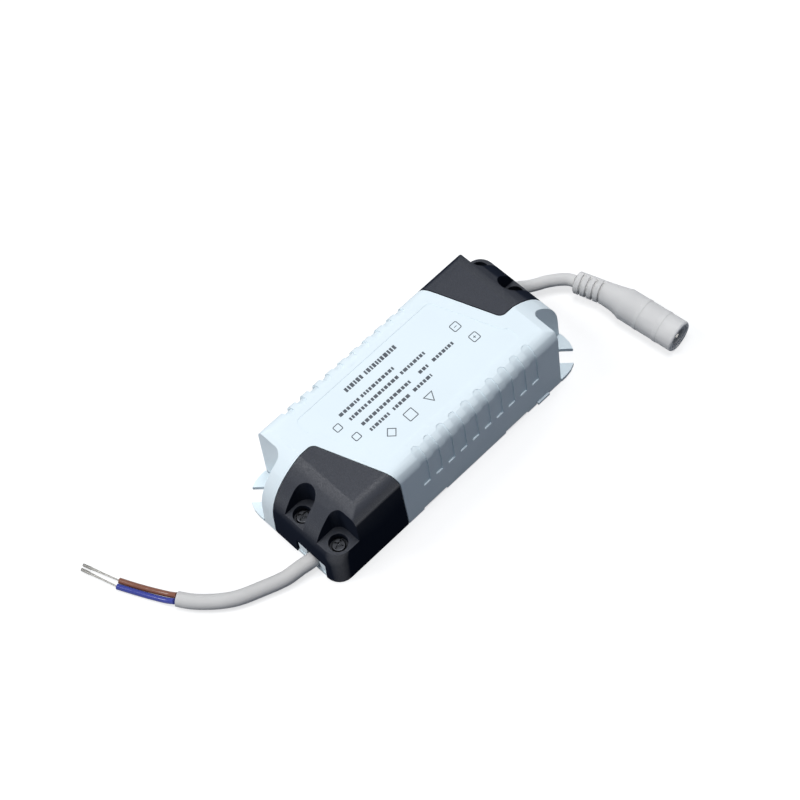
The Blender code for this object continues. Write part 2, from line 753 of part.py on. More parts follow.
standoffs = add_cutter("cutter_standoffs", mesh_from(standoff_work, "standoffs"))
saddle_x = -LENGTH / 2 + 2 * GAP
saddle = box_outline(saddle_x, saddle_x + SADDLE_THICKNESS, tongue_low + GAP, tongue_high - GAP)
saddles = add_cutter("cutter_saddles", both_ends("saddles", saddle, FLOOR / 3, SADDLE_TOP))
saddle_slot = box_outline(-FAR, -lip_along + 3 * LIP_WALL, -SADDLE_Y - SADDLE_SLOT / 2, -SADDLE_Y + SADDLE_SLOT / 2)
saddle_slots = add_cutter("cutter_saddle_slots", both_ends("saddle_slots", saddle_slot, FLOOR, TOP))
tab = box_outline(TAB_X[0], TAB_X[1], -WIDTH / 2 - TAB_REACH, -edge_y + WALL)
tabs = add_cutter("cutter_tabs", both_ends("tabs", tab, 0.0002, TAB_TOP))
slot_centre = Vector((-LENGTH / 2 + EAR_SLOT_DEPTH / math.sqrt(2), WIDTH / 2 - EAR_SLOT_DEPTH / math.sqrt(2)))
slot_radius = EAR_SLOT_WIDTH / 2
slot_points = []
for step in range(13):
    angle = math.radians(-135 + 180 * step / 12)
    slot_points.append(slot_centre + slot_radius * Vector((math.cos(angle), math.sin(angle))))
outward = Vector((-1, 1)).normalized() * EAR_SLOT_DEPTH
slot_points += [slot_points[-1] + outward, slot_points[0] + outward]
ear_slots = add_cutter("cutter_ear_slots", both_ends("ear_slots", slot_points, BELOW, 2 * FLOOR))
cut(saddles, saddle_slots)
fuse(base_tray, lip_ring, posts, standoffs, saddles, tabs)
cut(base_tray, pilots, ear_slots)

# Cover screws: a domed head with a cross recess on a plain shank.
shank_length = SEAT_HEIGHT - FLOOR - 0.0008
screw_form = add_cutter(
    "cutter_screw",
    revolved(
        "screw_form",
        [
            (0.0, -shank_length),
            (SHANK_DIAMETER / 4, -shank_length),
            (SHANK_DIAMETER / 2, -shank_length + 0.0006),
            (SHANK_DIAMETER / 2, 0.0),
            (HEAD_DIAMETER / 2 - 0.0001, 0.0),
            (HEAD_DIAMETER / 2, 0.0001),
            (HEAD_DIAMETER / 2, HEAD_HEIGHT * 0.55),
            (HEAD_DIAMETER / 2 * 0.93, HEAD_HEIGHT * 0.78),
            (HEAD_DIAMETER / 2 * 0.74, HEAD_HEIGHT * 0.94),
            (0.0, HEAD_HEIGHT),
        ],
        20,
    ),
)
RECESS_LENGTH = 0.0028
RECESS_WIDTH = 0.0007
RECESS_DEPTH = 0.0009
cross = add_cutter(
    "cutter_cross",
    prism(
        "cross",
        [
            Vector((x, y))
            for x, y in (
                (-RECESS_LENGTH / 2, -RECESS_WIDTH / 2),
                (-RECESS_WIDTH / 2, -RECESS_WIDTH / 2),
                (-RECESS_WIDTH / 2, -RECESS_LENGTH / 2),
                (RECESS_WIDTH / 2, -RECESS_LENGTH / 2),
                (RECESS_WIDTH / 2, -RECESS_WIDTH / 2),
                (RECESS_LENGTH / 2, -RECESS_WIDTH / 2),
                (RECESS_LENGTH / 2, RECESS_WIDTH / 2),
                (RECESS_WIDTH / 2, RECESS_WIDTH / 2),
                (RECESS_WIDTH / 2, RECESS_LENGTH / 2),
                (-RECESS_WIDTH / 2, RECESS_LENGTH / 2),
                (-RECESS_WIDTH / 2, RECESS_WIDTH / 2),
                (-RECESS_LENGTH / 2, RECESS_WIDTH / 2),
            )
        ],
        HEAD_HEIGHT - RECESS_DEPTH,
        HEAD_HEIGHT + 0.001,
    ),
)
cut(screw_form, cross)
BLACKENED = (0.06, 0.062, 0.068)
for index, (x, y, spin) in enumerate(
    (
        (*INNER_SCREW, 20),
        (*OUTER_SCREW, 63),
        (-INNER_SCREW[0], -INNER_SCREW[1], 44),
        (-OUTER_SCREW[0], -OUTER_SCREW[1], 8),
    ),
    start=1,
):
    screw_mesh = evaluated_mesh(screw_form, "cover_screw")
    place = Matrix.Translation((x, y, SEAT_HEIGHT + GAP))
    screw_mesh.transform(place @ Matrix.Rotation(math.radians(spin), 4, "Z"))
    add_part(f"cover_screw_{index}", screw_mesh, BLACKENED, 0.4, 1.0)

# Cord clamps: a bar across each pair of posts, held down by the cover screws, with a pad over the lead.
clamp_foot = POST_TOP + GAP
clamp_x = (INNER_SCREW[0] + OUTER_SCREW[0]) / 2
clamp_end = half_width(BOSS_FOOT, COVER_WALL) - 2 * GAP
for name, turn, lead_diameter in (("input", 0.0, JACKET_DIAMETER), ("output", math.pi, OUTPUT_DIAMETER)):
    bar = add_part(
        f"{name}_cord_clamp",
        box(
            "clamp",
            clamp_x - CLAMP_WIDTH / 2,
            clamp_x + CLAMP_WIDTH / 2,
            -clamp_end,
            INNER_SCREW[1] + CLAMP_WIDTH / 2,
            clamp_foot,
            clamp_foot + CLAMP_THICKNESS,
            CLAMP_CORNER,
        ),
        (0.035, 0.035, 0.037),
        0.55,
    )
    lead_top = SADDLE_FOOT + lead_diameter
    pad = add_cutter(
        f"cutter_{name}_pad",
        box(
            "pad",
            clamp_x - CLAMP_WIDTH / 2 + 0.0004,
            clamp_x + CLAMP_WIDTH / 2 - 0.0004,
            -SADDLE_Y - lead_diameter / 2,
            -SADDLE_Y + lead_diameter / 2,
            lead_top + 2 * GAP,
            clamp_foot + CLAMP_THICKNESS / 2,
        ),
    )
    fuse(bar, pad)
    bar_holes = add_cutter(f"cutter_{name}_clamp_holes", evaluated_mesh(screw_holes, "clamp_holes"))
    cut(bar, bar_holes)
    bar_mesh = evaluated_mesh(bar, f"{name}_cord_clamp")
    bar_mesh.transform(Matrix.Rotation(turn, 4, "Z"))
    bar.modifiers.clear()
    bar.data = bar_mesh

# Circuit board with the power supply's larger components standing on it.
board = add_part(
    "circuit_board",
    box(
        "circuit_board",
        -BOARD_LENGTH / 2,
        BOARD_LENGTH / 2,
        -BOARD_WIDTH / 2,
        BOARD_WIDTH / 2,
        BOARD_FOOT,
        BOARD_TOP,
        0.001,
    ),
    (0.25, 0.17, 0.06),
    0.5,
)
SEAT = BOARD_TOP + GAP
HEADROOM = HEIGHT - WALL - SEAT


def on_board(along, across):
    """A place on the board from shares of half the room between the bulkheads and half the board's width."""
    return along * MIDDLE_ROOM / 2, across * BOARD_WIDTH / 2


def share(along, across, up):
    """A size from shares of the room between the bulkheads, the board's width and the room above the board."""
    return along * MIDDLE_ROOM, across * BOARD_WIDTH, up * HEADROOM


def add_block(name, place, size, colour, roughness=0.5, metallic=0.0, bevel=0.0004, foot=SEAT):
    """A box-shaped component with softened edges, standing on the board."""
    work = bmesh.new()
    bmesh.ops.create_cube(work, size=1.0)
    bmesh.ops.scale(work, vec=size, verts=work.verts)
    bmesh.ops.translate(work, vec=(*place, foot + size[2] / 2), verts=work.verts)
    bmesh.ops.bevel(
        work, geom=work.edges, offset=bevel, affect="EDGES", segments=2, profile=0.5, material=-1
    )
    return add_part(name, mesh_from(work, name), colour, roughness, metallic)


def add_can(name, place, size, colour, crimp=0.0005):
    """A capacitor can: rolled rim, pressed top and a crimp above the seal."""
    r = min(size[0], size[1]) / 2
    height = size[2]
    mesh_data = revolved(
        name,
        [
            (0.0, 0.0),
            (r - crimp, 0.0),
            (r, crimp),
            (r, 4 * crimp),
            (r - crimp, 5 * crimp),
            (r, 6 * crimp),
            (r, height - crimp),
            (r - crimp, height),
            (r - 2 * crimp, height - crimp / 2),
            (0.0, height - crimp / 2),
        ],
        16,
    )
    mesh_data.transform(Matrix.Translation((*place, SEAT)))
    return add_part(name, mesh_data, colour, 0.35)


# Transformer: a ferrite frame round a taped coil.
CORE_SIZE = share(0.3846, 0.2023, 0.837)
COIL_SIZE = share(0.2509, 0.549, 0.598)
TRANSFORMER = on_board(0.150, 0.0)
core = add_block("transformer_core", TRANSFORMER, CORE_SIZE, (0.03, 0.03, 0.032), 0.55)
coil_foot = SEAT + (CORE_SIZE[2] - COIL_SIZE[2]) / 2
window = add_cutter(
    "cutter_core_window",
    box(
        "core_window",
        TRANSFORMER[0] - COIL_SIZE[0] / 2 - GAP,
        TRANSFORMER[0] + COIL_SIZE[0] / 2 + GAP,
        TRANSFORMER[1] - CORE_SIZE[1],
        TRANSFORMER[1] + CORE_SIZE[1],
        coil_foot - GAP,
        coil_foot + COIL_SIZE[2] + GAP,
    ),
)
cut(core, window)
add_block("transformer_coil", TRANSFORMER, COIL_SIZE, (0.75, 0.52, 0.05), 0.4, 0.0, 0.0012, coil_foot)

add_can("bulk_capacitor", on_board(-0.585, 0.549), share(0.1672, 0.289, 0.861), (0.02, 0.02, 0.05))
for index, across in enumerate((0.318, -0.26), start=1):
    add_can(f"output_capacitor_{index}", on_board(0.736, across), share(0.1337, 0.231, 0.67), (0.02, 0.05, 0.03))
# Choke: a wound ring.
choke_size = share(0.1740, 0.301, 0.335)
ring = min(choke_size[0], choke_size[1]) / 2
choke_top = choke_size[2]
choke = revolved(
    "common_mode_choke",
    [
        (ring, 0.11 * choke_top),
        (ring, 0.89 * choke_top),
        (0.85 * ring, choke_top),
        (0.58 * ring, choke_top),
        (0.42 * ring, 0.89 * choke_top),
        (0.42 * ring, 0.11 * choke_top),
        (0.58 * ring, 0.0),
        (0.85 * ring, 0.0),
    ],
)
choke.transform(Matrix.Translation((*on_board(-0.686, -0.243), SEAT)))
add_part("common_mode_choke", choke, (0.40, 0.14, 0.03), 0.35)

MOULDED = (0.02, 0.02, 0.02)
add_block("film_capacitor", on_board(-1.004, 0.723), share(0.2005, 0.159, 0.478), (0.55, 0.45, 0.05), 0.4)
add_block("bridge_rectifier", on_board(-0.366, -0.798), share(0.1421, 0.188, 0.124), MOULDED)
add_block("optocoupler", on_board(0.368, -0.809), share(0.1087, 0.133, 0.163), MOULDED)
add_block("output_diode", on_board(0.736, -0.78), share(0.1500, 0.1445, 0.239), MOULDED)
add_block(
    "heat_spreader", on_board(0.134, 0.838), share(0.3341, 0.0462, 0.718), (0.60, 0.61, 0.62), 0.35, 1.0, 0.0002
)
add_block("switching_transistor", on_board(0.301, 0.688), share(0.1601, 0.0867, 0.478), MOULDED, 0.5, 0.0, 0.0003)

# Terminal blocks: a box with two wire mouths towards the lead and two screw holes on top.
BLOCK_LENGTH = 0.0070
BLOCK_WIDTH = 0.0110
BLOCK_HEIGHT = 0.0095
BLOCK_FROM_SIDE = 0.0055
BLOCK_FROM_BULKHEAD = 0.0010
FUSE_DIAMETER = 0.0035
FUSE_SHARE = 0.34
FUSE_OFFSET = 0.0012
POLE_PITCH = 0.0050
MOUTH = 0.0026
BLOCK_SIZE = (BLOCK_LENGTH, BLOCK_WIDTH, BLOCK_HEIGHT)
block_y = -WIDTH / 2 + BLOCK_FROM_SIDE + BLOCK_WIDTH / 2
block_x = (
    -COVER_SLANT_X
    - (block_y + BLOCK_WIDTH / 2) * math.tan(COVER_SLANT)
    - BLOCK_FROM_BULKHEAD
    - BLOCK_LENGTH / 2
)
BLOCK_PLACE = (block_x, block_y)
block_foot = SEAT
fuse_room = COVER_INNER_Y - block_y - BLOCK_WIDTH / 2
fuse_size = (FUSE_DIAMETER, FUSE_SHARE * fuse_room, 0.383 * HEADROOM)
fuse_place = (block_x - FUSE_OFFSET, COVER_INNER_Y - fuse_room / 2)
add_can("fuse", fuse_place, fuse_size, (0.30, 0.06, 0.03), 0.08 * fuse_size[0])
mouth_z = block_foot + 0.0032
block_form = add_cutter(
    "cutter_block",
    box(
        "block_form",
        BLOCK_PLACE[0] - BLOCK_SIZE[0] / 2,
        BLOCK_PLACE[0] + BLOCK_SIZE[0] / 2,
        BLOCK_PLACE[1] - BLOCK_SIZE[1] / 2,
        BLOCK_PLACE[1] + BLOCK_SIZE[1] / 2,
        block_foot,
        block_foot + BLOCK_SIZE[2],
        0.0005,
    ),
)
mouth_work = bmesh.new()
for side in (-1, 1):
    pole_y = BLOCK_PLACE[1] + side * POLE_PITCH / 2
    mouth = box_outline(BLOCK_PLACE[0] - BLOCK_SIZE[0], BLOCK_PLACE[0], pole_y - MOUTH / 2, pole_y + MOUTH / 2)
    add_prism(mouth_work, mouth, mouth_z - MOUTH / 2, mouth_z + MOUTH / 2)
    add_prism(
        mouth_work,
        circle(BLOCK_PLACE[0] + 0.0008, pole_y, 0.0015, 16),
        block_foot + BLOCK_SIZE[2] * 0.7,
        TOP,
    )
block_mouths = add_cutter("cutter_block_mouths", mesh_from(mouth_work, "block_mouths"))
cut(block_form, block_mouths)
for name, turn in (("input", 0.0), ("output", math.pi)):
    block_mesh = evaluated_mesh(block_form, "terminal_block")
    block_mesh.transform(Matrix.Rotation(turn, 4, "Z"))
    add_part(f"{name}_terminal_block", block_mesh, (0.10, 0.26, 0.12), 0.45)

# The two leads, their cores and the tinned tips.
CABLE_WHITE = (0.70, 0.71, 0.73)
BROWN = (0.17, 0.055, 0.028)
BLUE = (0.03, 0.17, 0.52)
TIN = (0.62, 0.63, 0.64)
input_points = smooth_route(route_from_outlet(INPUT_ROUTE, -1), 2.4 * JACKET_DIAMETER / 2)
add_tube("input_cable_jacket", input_points, JACKET_DIAMETER, CABLE_WHITE)
output_points = smooth_route(route_from_outlet(OUTPUT_ROUTE, 1), OUTPUT_DIAMETER)
add_tube("output_cable", output_points, OUTPUT_DIAMETER, CABLE_WHITE)
for colour_name, route, tip_end, colour in (
    ("brown", BROWN_ROUTE, BROWN_TIP_END, BROWN),
    ("blue", BLUE_ROUTE, BLUE_TIP_END, BLUE),
):
    core_points = smooth_route(route_from_outlet(route, -1), 2.2 * CORE_DIAMETER)
    add_tube(f"{colour_name}_core", core_points, CORE_DIAMETER, colour, 0.4, 0.0, 2)
    run = (core_points[-1] - core_points[-2]).normalized()
    tip_start = core_points[-1] + run * GAP
    tip_stop = from_outlet(tip_end, -1)
    tip_points = smooth_route((tip_start, (tip_start + tip_stop) / 2, tip_stop), 2.5 * TIP_DIAMETER)
    add_tube(f"{colour_name}_tip", tip_points, TIP_DIAMETER, TIN, 0.3, 1.0, 2)

# Inside, two cores run from the end of each lead into the terminal block's mouths.
for name, side, jacket_end, diameter, colours in (
    ("input", 1.0, input_points[0], JACKET_DIAMETER, (("brown", BROWN), ("blue", BLUE))),
    ("output", -1.0, output_points[0], OUTPUT_DIAMETER, (("black", (0.02, 0.02, 0.02)), ("red", (0.45, 0.02, 0.02)))),
):
    for (colour_name, colour), offset in zip(colours, (-1.0, 1.0)):
        start = Vector((jacket_end.x + side * GAP, jacket_end.y + offset * 0.00096, jacket_end.z))
        pole_y = side * (BLOCK_PLACE[1]) + offset * POLE_PITCH / 2
        end_x = side * (BLOCK_PLACE[0] - BLOCK_SIZE[0] / 2 + 0.0012)
        stops = (
            start,
            Vector((start.x + side * 0.0012, start.y, start.z)),
            Vector((end_x - side * 0.0024, pole_y, mouth_z)),
            Vector((end_x, pole_y, mouth_z)),
        )
        lead = smooth_route(stops, 0.9 * CORE_DIAMETER)
        add_tube(f"{name}_inner_{colour_name}", lead, CORE_DIAMETER, colour, 0.4, 0.0, 2)

# Socket on the output lead: a moulded body with a slotted strain relief that bends, and the contacts in its mouth.
axis = Vector((math.cos(SOCKET_HEADING), math.sin(SOCKET_HEADING), 0.0))
side = Vector((0.0, 0.0, 1.0)).cross(axis)
socket_axes = Matrix((side, Vector((0.0, 0.0, 1.0)), axis)).transposed().to_4x4()
socket_place = Matrix.Translation(from_outlet(SOCKET_FRONT, 1) - axis * SOCKET_LENGTH) @ socket_axes
r = SOCKET_DIAMETER / 2
neck = RELIEF_DIAMETER / 2
wall_r = r - RING_RISE
mouth_r = SOCKET_BORE / 2 + SOCKET_WALL
body_profile = [
    (0.0, 0.0),
    (neck - 0.0005, 0.0),
    (neck - 0.0001, 0.0004),
    (neck, RELIEF_LENGTH),
    (WAIST_DIAMETER / 2, WAIST_END),
    (wall_r - 0.0003, CONE_END - 0.0003),
    (wall_r, CONE_END + 0.0004),
]
for ring_low, ring_high in RING_SPANS:
    body_profile += [
        (wall_r, ring_low),
        (r, ring_low + RING_RISE),
        (r, ring_high - RING_RISE),
        (wall_r, ring_high),
    ]
body_profile += [
    (wall_r, SOCKET_LENGTH - 0.0004),
    (wall_r - 0.0003, SOCKET_LENGTH),
    (mouth_r, SOCKET_LENGTH),
    (mouth_r, SOCKET_LENGTH - MOUTH_DEPTH),
    (0.0, SOCKET_LENGTH - MOUTH_DEPTH),
]
socket_form = add_cutter("cutter_socket_form", revolved("socket_form", body_profile, 26))
slot_rings = bmesh.new()
rib_pitch = RELIEF_LENGTH / (RIBS + 0.5)
for rib in range(1, RIBS + 1):
    low = rib * rib_pitch - RIB_SLOT / 2
    corners = [
        (neck - RIB_SLOT_DEPTH, low),
        (neck + 0.001, low),
        (neck + 0.001, low + RIB_SLOT),
        (neck - RIB_SLOT_DEPTH, low + RIB_SLOT),
    ]
    points = [slot_rings.verts.new((radius, 0.0, height)) for radius, height in corners]
    edges = [slot_rings.edges.new((points[k - 1], points[k])) for k in range(4)]
    bmesh.ops.spin(
        slot_rings,
        geom=points + edges,
        cent=(0.0, 0.0, 0.0),
        axis=(0.0, 0.0, 1.0),
        angle=math.tau,
        steps=20,
        use_merge=True,
    )
bmesh.ops.remove_doubles(slot_rings, verts=slot_rings.verts, dist=1e-6)
slots = add_cutter("cutter_relief_slots", mesh_from(slot_rings, "relief_slots"))
spine_mesh = box("relief_spine", 0.0, r, -SPINE_WIDTH / 2, SPINE_WIDTH / 2, -0.001, CONE_END)
spine_mesh.transform(Matrix.Rotation(SPINE_TURN, 4, "Z"))
spine = add_cutter("cutter_relief_spine", spine_mesh)
cut(slots, spine)
cut(socket_form, slots)
socket_body = evaluated_mesh(socket_form, "socket_body")
bend_end = CONE_END
bend_length = bend_end - RELIEF_BEND_START
bend_radius = bend_length / RELIEF_BEND
for vertex in socket_body.vertices:
    turn = RELIEF_BEND * min(max((bend_end - vertex.co.z) / bend_length, 0.0), 1.0)
    centre = Vector((-bend_radius * (1.0 - math.cos(turn)), 0.0, bend_end - bend_radius * math.sin(turn)))
    back = Vector((-math.sin(turn), 0.0, -math.cos(turn)))
    if vertex.co.z > bend_end:
        centre.z = vertex.co.z
    elif vertex.co.z < RELIEF_BEND_START:
        centre += back * (RELIEF_BEND_START - vertex.co.z)
    across = Vector((math.cos(turn), 0.0, -math.sin(turn)))
    vertex.co = centre + across * vertex.co.x + Vector((0.0, vertex.co.y, 0.0))
socket_body.transform(socket_place)
add_part("socket_body", socket_body, CABLE_WHITE, 0.45)
socket_floor = SOCKET_LENGTH - MOUTH_DEPTH + GAP
insulator_r = mouth_r - GAP
INSULATOR_SET_BACK = 0.0004
INSULATOR_FLOOR = 0.0011
insulator = revolved(
    "socket_insulator",
    [
        (0.0, socket_floor),
        (insulator_r, socket_floor),
        (insulator_r, SOCKET_LENGTH - INSULATOR_SET_BACK),
        (SOCKET_BORE / 2, SOCKET_LENGTH - INSULATOR_SET_BACK),
        (SOCKET_BORE / 2, socket_floor + INSULATOR_FLOOR),
        (0.0, socket_floor + INSULATOR_FLOOR),
    ],
)
insulator.transform(socket_place)
add_part("socket_insulator", insulator, (0.55, 0.56, 0.57), 0.5)
PIN_SET_BACK = 0.0008
PIN_TAPER = 0.0004
pin_foot = socket_floor + INSULATOR_FLOOR + GAP
pin = revolved(
    "socket_pin",
    [
        (0.0, pin_foot),
        (SOCKET_PIN / 2, pin_foot),
        (SOCKET_PIN / 2, SOCKET_LENGTH - PIN_SET_BACK - 2 * PIN_TAPER),
        (SOCKET_PIN / 2 - PIN_TAPER, SOCKET_LENGTH - PIN_SET_BACK),
        (0.0, SOCKET_LENGTH - PIN_SET_BACK),
    ],
    16,
)
pin.transform(socket_place)
add_part("socket_pin", pin, TIN, 0.25, 1.0)
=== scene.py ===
# %% [markdown]
# # An LED driver on a pale table
#
# A small power supply for a lamp: a white moulded case, two black terminal covers held by screws,
# a mains lead with two stripped cores and a thinner output lead that ends in a round socket.
# The solids come from the CAD model. This lesson dresses them: it places the camera, mixes each
# plastic, wire and metal from nodes, and replaces a few plain solids with finer pieces.

# %% Load the solids
import math
import random

import bmesh
import bpy
from mathutils import Matrix, Vector


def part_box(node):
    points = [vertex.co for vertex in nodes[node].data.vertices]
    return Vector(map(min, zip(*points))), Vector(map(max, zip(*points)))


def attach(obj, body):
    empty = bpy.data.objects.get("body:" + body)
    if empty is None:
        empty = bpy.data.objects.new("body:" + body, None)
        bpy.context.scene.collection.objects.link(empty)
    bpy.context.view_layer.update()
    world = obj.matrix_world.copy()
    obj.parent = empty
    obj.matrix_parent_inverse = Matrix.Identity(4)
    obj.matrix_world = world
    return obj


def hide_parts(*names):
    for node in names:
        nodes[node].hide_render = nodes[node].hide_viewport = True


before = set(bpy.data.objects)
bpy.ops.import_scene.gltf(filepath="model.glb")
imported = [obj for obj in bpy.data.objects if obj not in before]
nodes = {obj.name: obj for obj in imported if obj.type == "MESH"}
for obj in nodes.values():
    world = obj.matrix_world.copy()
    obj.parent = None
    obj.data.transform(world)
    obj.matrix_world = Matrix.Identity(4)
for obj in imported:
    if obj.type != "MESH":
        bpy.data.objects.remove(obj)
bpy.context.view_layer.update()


# %% [markdown]
# ## From a mesh to an object
#
# Almost every step below ends in the same two moves: a working mesh becomes mesh data, and data
# becomes an object in the scene. Two short functions say it once. Nothing is turned or shifted
# afterwards, so an object's place is always in its own mesh.

# %% Put data into the scene
def add_object(name, data):
    made = bpy.data.objects.new(name, data)
    bpy.context.scene.collection.objects.link(made)
    return made


def mesh_from(name, work):
    mesh = bpy.data.meshes.new(name)
    work.to_mesh(mesh)
    work.free()
    return mesh


print("two helpers ready")

# %% [markdown]
# ## The camera
#
# The camera was fitted to the photograph from the case's own straight edges. A camera can be aimed
# with a look-at target, but that loses the slight roll, so its axes and its place are written out.
# The long lens keeps the case's edges nearly parallel, as they are in the picture.

# %% Place the camera
MM = 0.001
FOCAL_PIXELS = 2129.1
IMAGE_PIXELS = 800.0
SENSOR = 36.0
CAMERA_PLACE = (-186.86, -241.93, 553.32)

camera_right = Vector((0.70622, -0.70377, -0.0772)).normalized()
camera_back = Vector((-0.29876, -0.3951, 0.8687)).normalized()
camera_up = camera_back.cross(camera_right).normalized()
camera_right = camera_up.cross(camera_back)
camera_data = bpy.data.cameras.new("photo_camera")
camera_data.sensor_width = SENSOR
camera_data.lens = FOCAL_PIXELS / IMAGE_PIXELS * SENSOR
camera_data.clip_start = 0.01
camera = add_object("photo_camera", camera_data)
axes = Matrix((camera_right, camera_up, camera_back)).transposed()
camera.matrix_world = Matrix.Translation(Vector(CAMERA_PLACE) * MM) @ axes.to_4x4()
bpy.context.scene.camera = camera
print("camera at", [round(v, 3) for v in camera.location], "lens", round(camera_data.lens, 1))


# %% [markdown]
# ## A short way to write materials
#
# Blender builds a material from nodes. Adding each Math node by hand hides the idea, so the class
# Field wraps a socket and turns Python's own signs into Math nodes. The class Tree has one method
# for any other node: its settings come first, then the values or links of its sockets.

# %% Wrap sockets so that maths reads as maths
class Field:
    """A socket of a node tree, on which Python's signs add Math nodes."""

    def __init__(self, tree, socket):
        self.tree = tree
        self.socket = socket

    def maths(self, operation, *values):
        return self.tree.node("ShaderNodeMath", {"operation": operation}, *values)

    def __add__(self, other):
        return self.maths("ADD", self, other)

    __radd__ = __add__

    def __mul__(self, other):
        return self.maths("MULTIPLY", self, other)

    __rmul__ = __mul__

    def larger(self, other):
        return self.maths("MAXIMUM", self, other)


class Tree:
    """The node tree of a material or a world."""

    def __init__(self, owner):
        owner.use_nodes = True
        self.nodes = owner.node_tree.nodes
        self.links = owner.node_tree.links

    def node(self, kind, settings=None, *values, output=0, **named):
        made = self.nodes.new(kind)
        for key, value in (settings or {}).items():
            setattr(made, key, value)
        inputs = list(enumerate(values))
        inputs += [(key.replace("_", " "), value) for key, value in named.items()]
        for key, value in inputs:
            if isinstance(value, Field):
                self.links.new(value.socket, made.inputs[key])
            elif value is not None:
                made.inputs[key].default_value = value
        return Field(self, made.outputs[output])

    def seen_rays(self):
        """1 for the rays of the camera, of gloss and of clear things, 0 for the others."""
        seen = self.node("ShaderNodeLightPath", output="Is Camera Ray")
        for ray in ("Is Glossy Ray", "Is Transmission Ray"):
            seen = seen.larger(self.node("ShaderNodeLightPath", output=ray))
        return seen

    def mix_surface(self, end, share, first, second):
        """Shows the first shader where share is 0 and the second where it is 1."""
        mixed = self.node("ShaderNodeMixShader", None, share, first, second)
        self.links.new(mixed.socket, self.nodes[end].inputs["Surface"])


print("field and tree ready")


# %% [markdown]
# ## One finish, many surfaces
#
# A real surface is never one flat colour: moulding, drawing and handling leave faint clouds in its
# tone and its gloss. An image could carry them, but noise read at the object's own coordinates has
# no seams and fits any piece. Finish holds one material and says those steps in few words.

# %% Describe a finish
CLOUD_EDGES = (0.3, 0.7)
FIRM_EDGES = (0.35, 0.65)


class Finish(Tree):
    """One material and the nodes that feed its shader."""

    def __init__(self, name, colour, roughness, metallic=0.0, **constants):
        self.material = bpy.data.materials.new(name)
        super().__init__(self.material)
        self.shader = self.nodes["Principled BSDF"]
        self.set("Base Color", (*colour, 1.0))
        self.set("Roughness", roughness)
        self.set("Metallic", metallic)
        for socket, value in constants.items():
            self.set(socket.replace("_", " "), value)
        self.material.diffuse_color = (*colour, 1.0)

    def set(self, socket, value):
        if isinstance(value, Field):
            self.links.new(value.socket, self.shader.inputs[socket])
        else:
            self.shader.inputs[socket].default_value = value

    def place(self):
        return self.node("ShaderNodeTexCoord", output="Object")

    def noise(self, scale, detail):
        return self.node("ShaderNodeTexNoise", Vector=self.place(), Scale=scale, Detail=detail)

    def spread(self, value, low, high, start, end):
        """Maps low..high of a value to start..end and holds it there."""
        settings = {"clamp": True}
        return self.node("ShaderNodeMapRange", settings, value, low, high, start, end)

    def tint(self, share, first, second):
        """A colour between two colours."""
        mix = self.nodes.new("ShaderNodeMix")
        mix.data_type = "RGBA"
        self.links.new(share.socket, mix.inputs["Factor"])
        first_colour, second_colour = mix.inputs[6], mix.inputs[7]
        first_colour.default_value = (*first, 1.0)
        second_colour.default_value = (*second, 1.0)
        return Field(self, mix.outputs[2])

    def cloud(self, field, colour, shade, edges=CLOUD_EDGES):
        """Lets the tone drift between a shaded colour and the full one."""
        shaded = tuple(c * shade for c in colour)
        self.set("Base Color", self.tint(self.spread(field, *edges, 0.0, 1.0), shaded, colour))

    def roughen(self, field, start, end):
        self.set("Roughness", self.spread(field, *CLOUD_EDGES, start, end))

    def bump(self, height, distance, strength):
        bump = self.node("ShaderNodeBump", Strength=strength, Distance=distance, Height=height)
        self.set("Normal", bump)


print("finish ready")


# %% [markdown]
# ## White case plastic
#
# The case and its tray are moulded from one cool white plastic with a fine eroded texture. Its
# gloss is low, so the tone carries the look: slow clouds a few centimetres wide and a bump too fine
# to see as dots.

# %% Mix the white plastic
def white_plastic(name, colour):
    finish = Finish(name, colour, 0.5, IOR=1.46, Specular_IOR_Level=0.12)
    finish.cloud(finish.noise(38.0, 3.0), colour, 0.975, FIRM_EDGES)
    finish.roughen(finish.noise(90.0, 4.0), 0.42, 0.50)
    finish.bump(finish.noise(2600.0, 2.0), 0.00005, 0.3)
    return finish.material


case_white = white_plastic("case_white", (0.83, 0.925, 0.965))
print("mixed", case_white.name)


# %% [markdown]
# ## Black cover plastic
#
# The terminal covers are black plastic with a coarser spark texture: small Voronoi cells, each with
# its own height, tilt the surface and glitter where light grazes it. At shallow angles a smooth
# shader would mirror the pale floor, which rough plastic does not, so Layer Weight fades the gloss
# there into a plain matte shader of the grain's middle tone.

# %% Mix the black plastic
CELL_SCALE = 4200.0
GRAIN_SCALE = 5200.0
GLOSS_FADES = (0.36, 0.60)
PALE_CELL = 1.5
MIDDLE_CELL = (1 + PALE_CELL) / 2


def black_plastic(name, colour):
    finish = Finish(name, colour, 0.42, IOR=1.46)
    pale, middle = (tuple(c * share for c in colour) for share in (PALE_CELL, MIDDLE_CELL))
    cells = finish.node(
        "ShaderNodeTexVoronoi", output="Color", Vector=finish.place(), Scale=CELL_SCALE
    )
    facets = finish.node("ShaderNodeSeparateColor", None, cells)
    finish.set("Base Color", finish.tint(facets, colour, pale))
    finish.set("Roughness", finish.spread(facets, 0.0, 1.0, 0.52, 0.34))
    finish.bump(facets * 0.6 + finish.noise(GRAIN_SCALE, 3.0) * 0.4, 0.00012, 0.7)
    matte = finish.node("ShaderNodeBsdfDiffuse", None, (*middle, 1.0), 0.3)
    facing = finish.node("ShaderNodeLayerWeight", output="Facing", Blend=0.5)
    shallow = finish.spread(facing, *GLOSS_FADES, 0.0, 1.0)
    glossy = Field(finish, finish.shader.outputs[0])
    finish.mix_surface("Material Output", shallow, glossy, matte)
    return finish.material


cover_black = black_plastic("cover_black", (0.0115, 0.0145, 0.023))
print("mixed", cover_black.name)


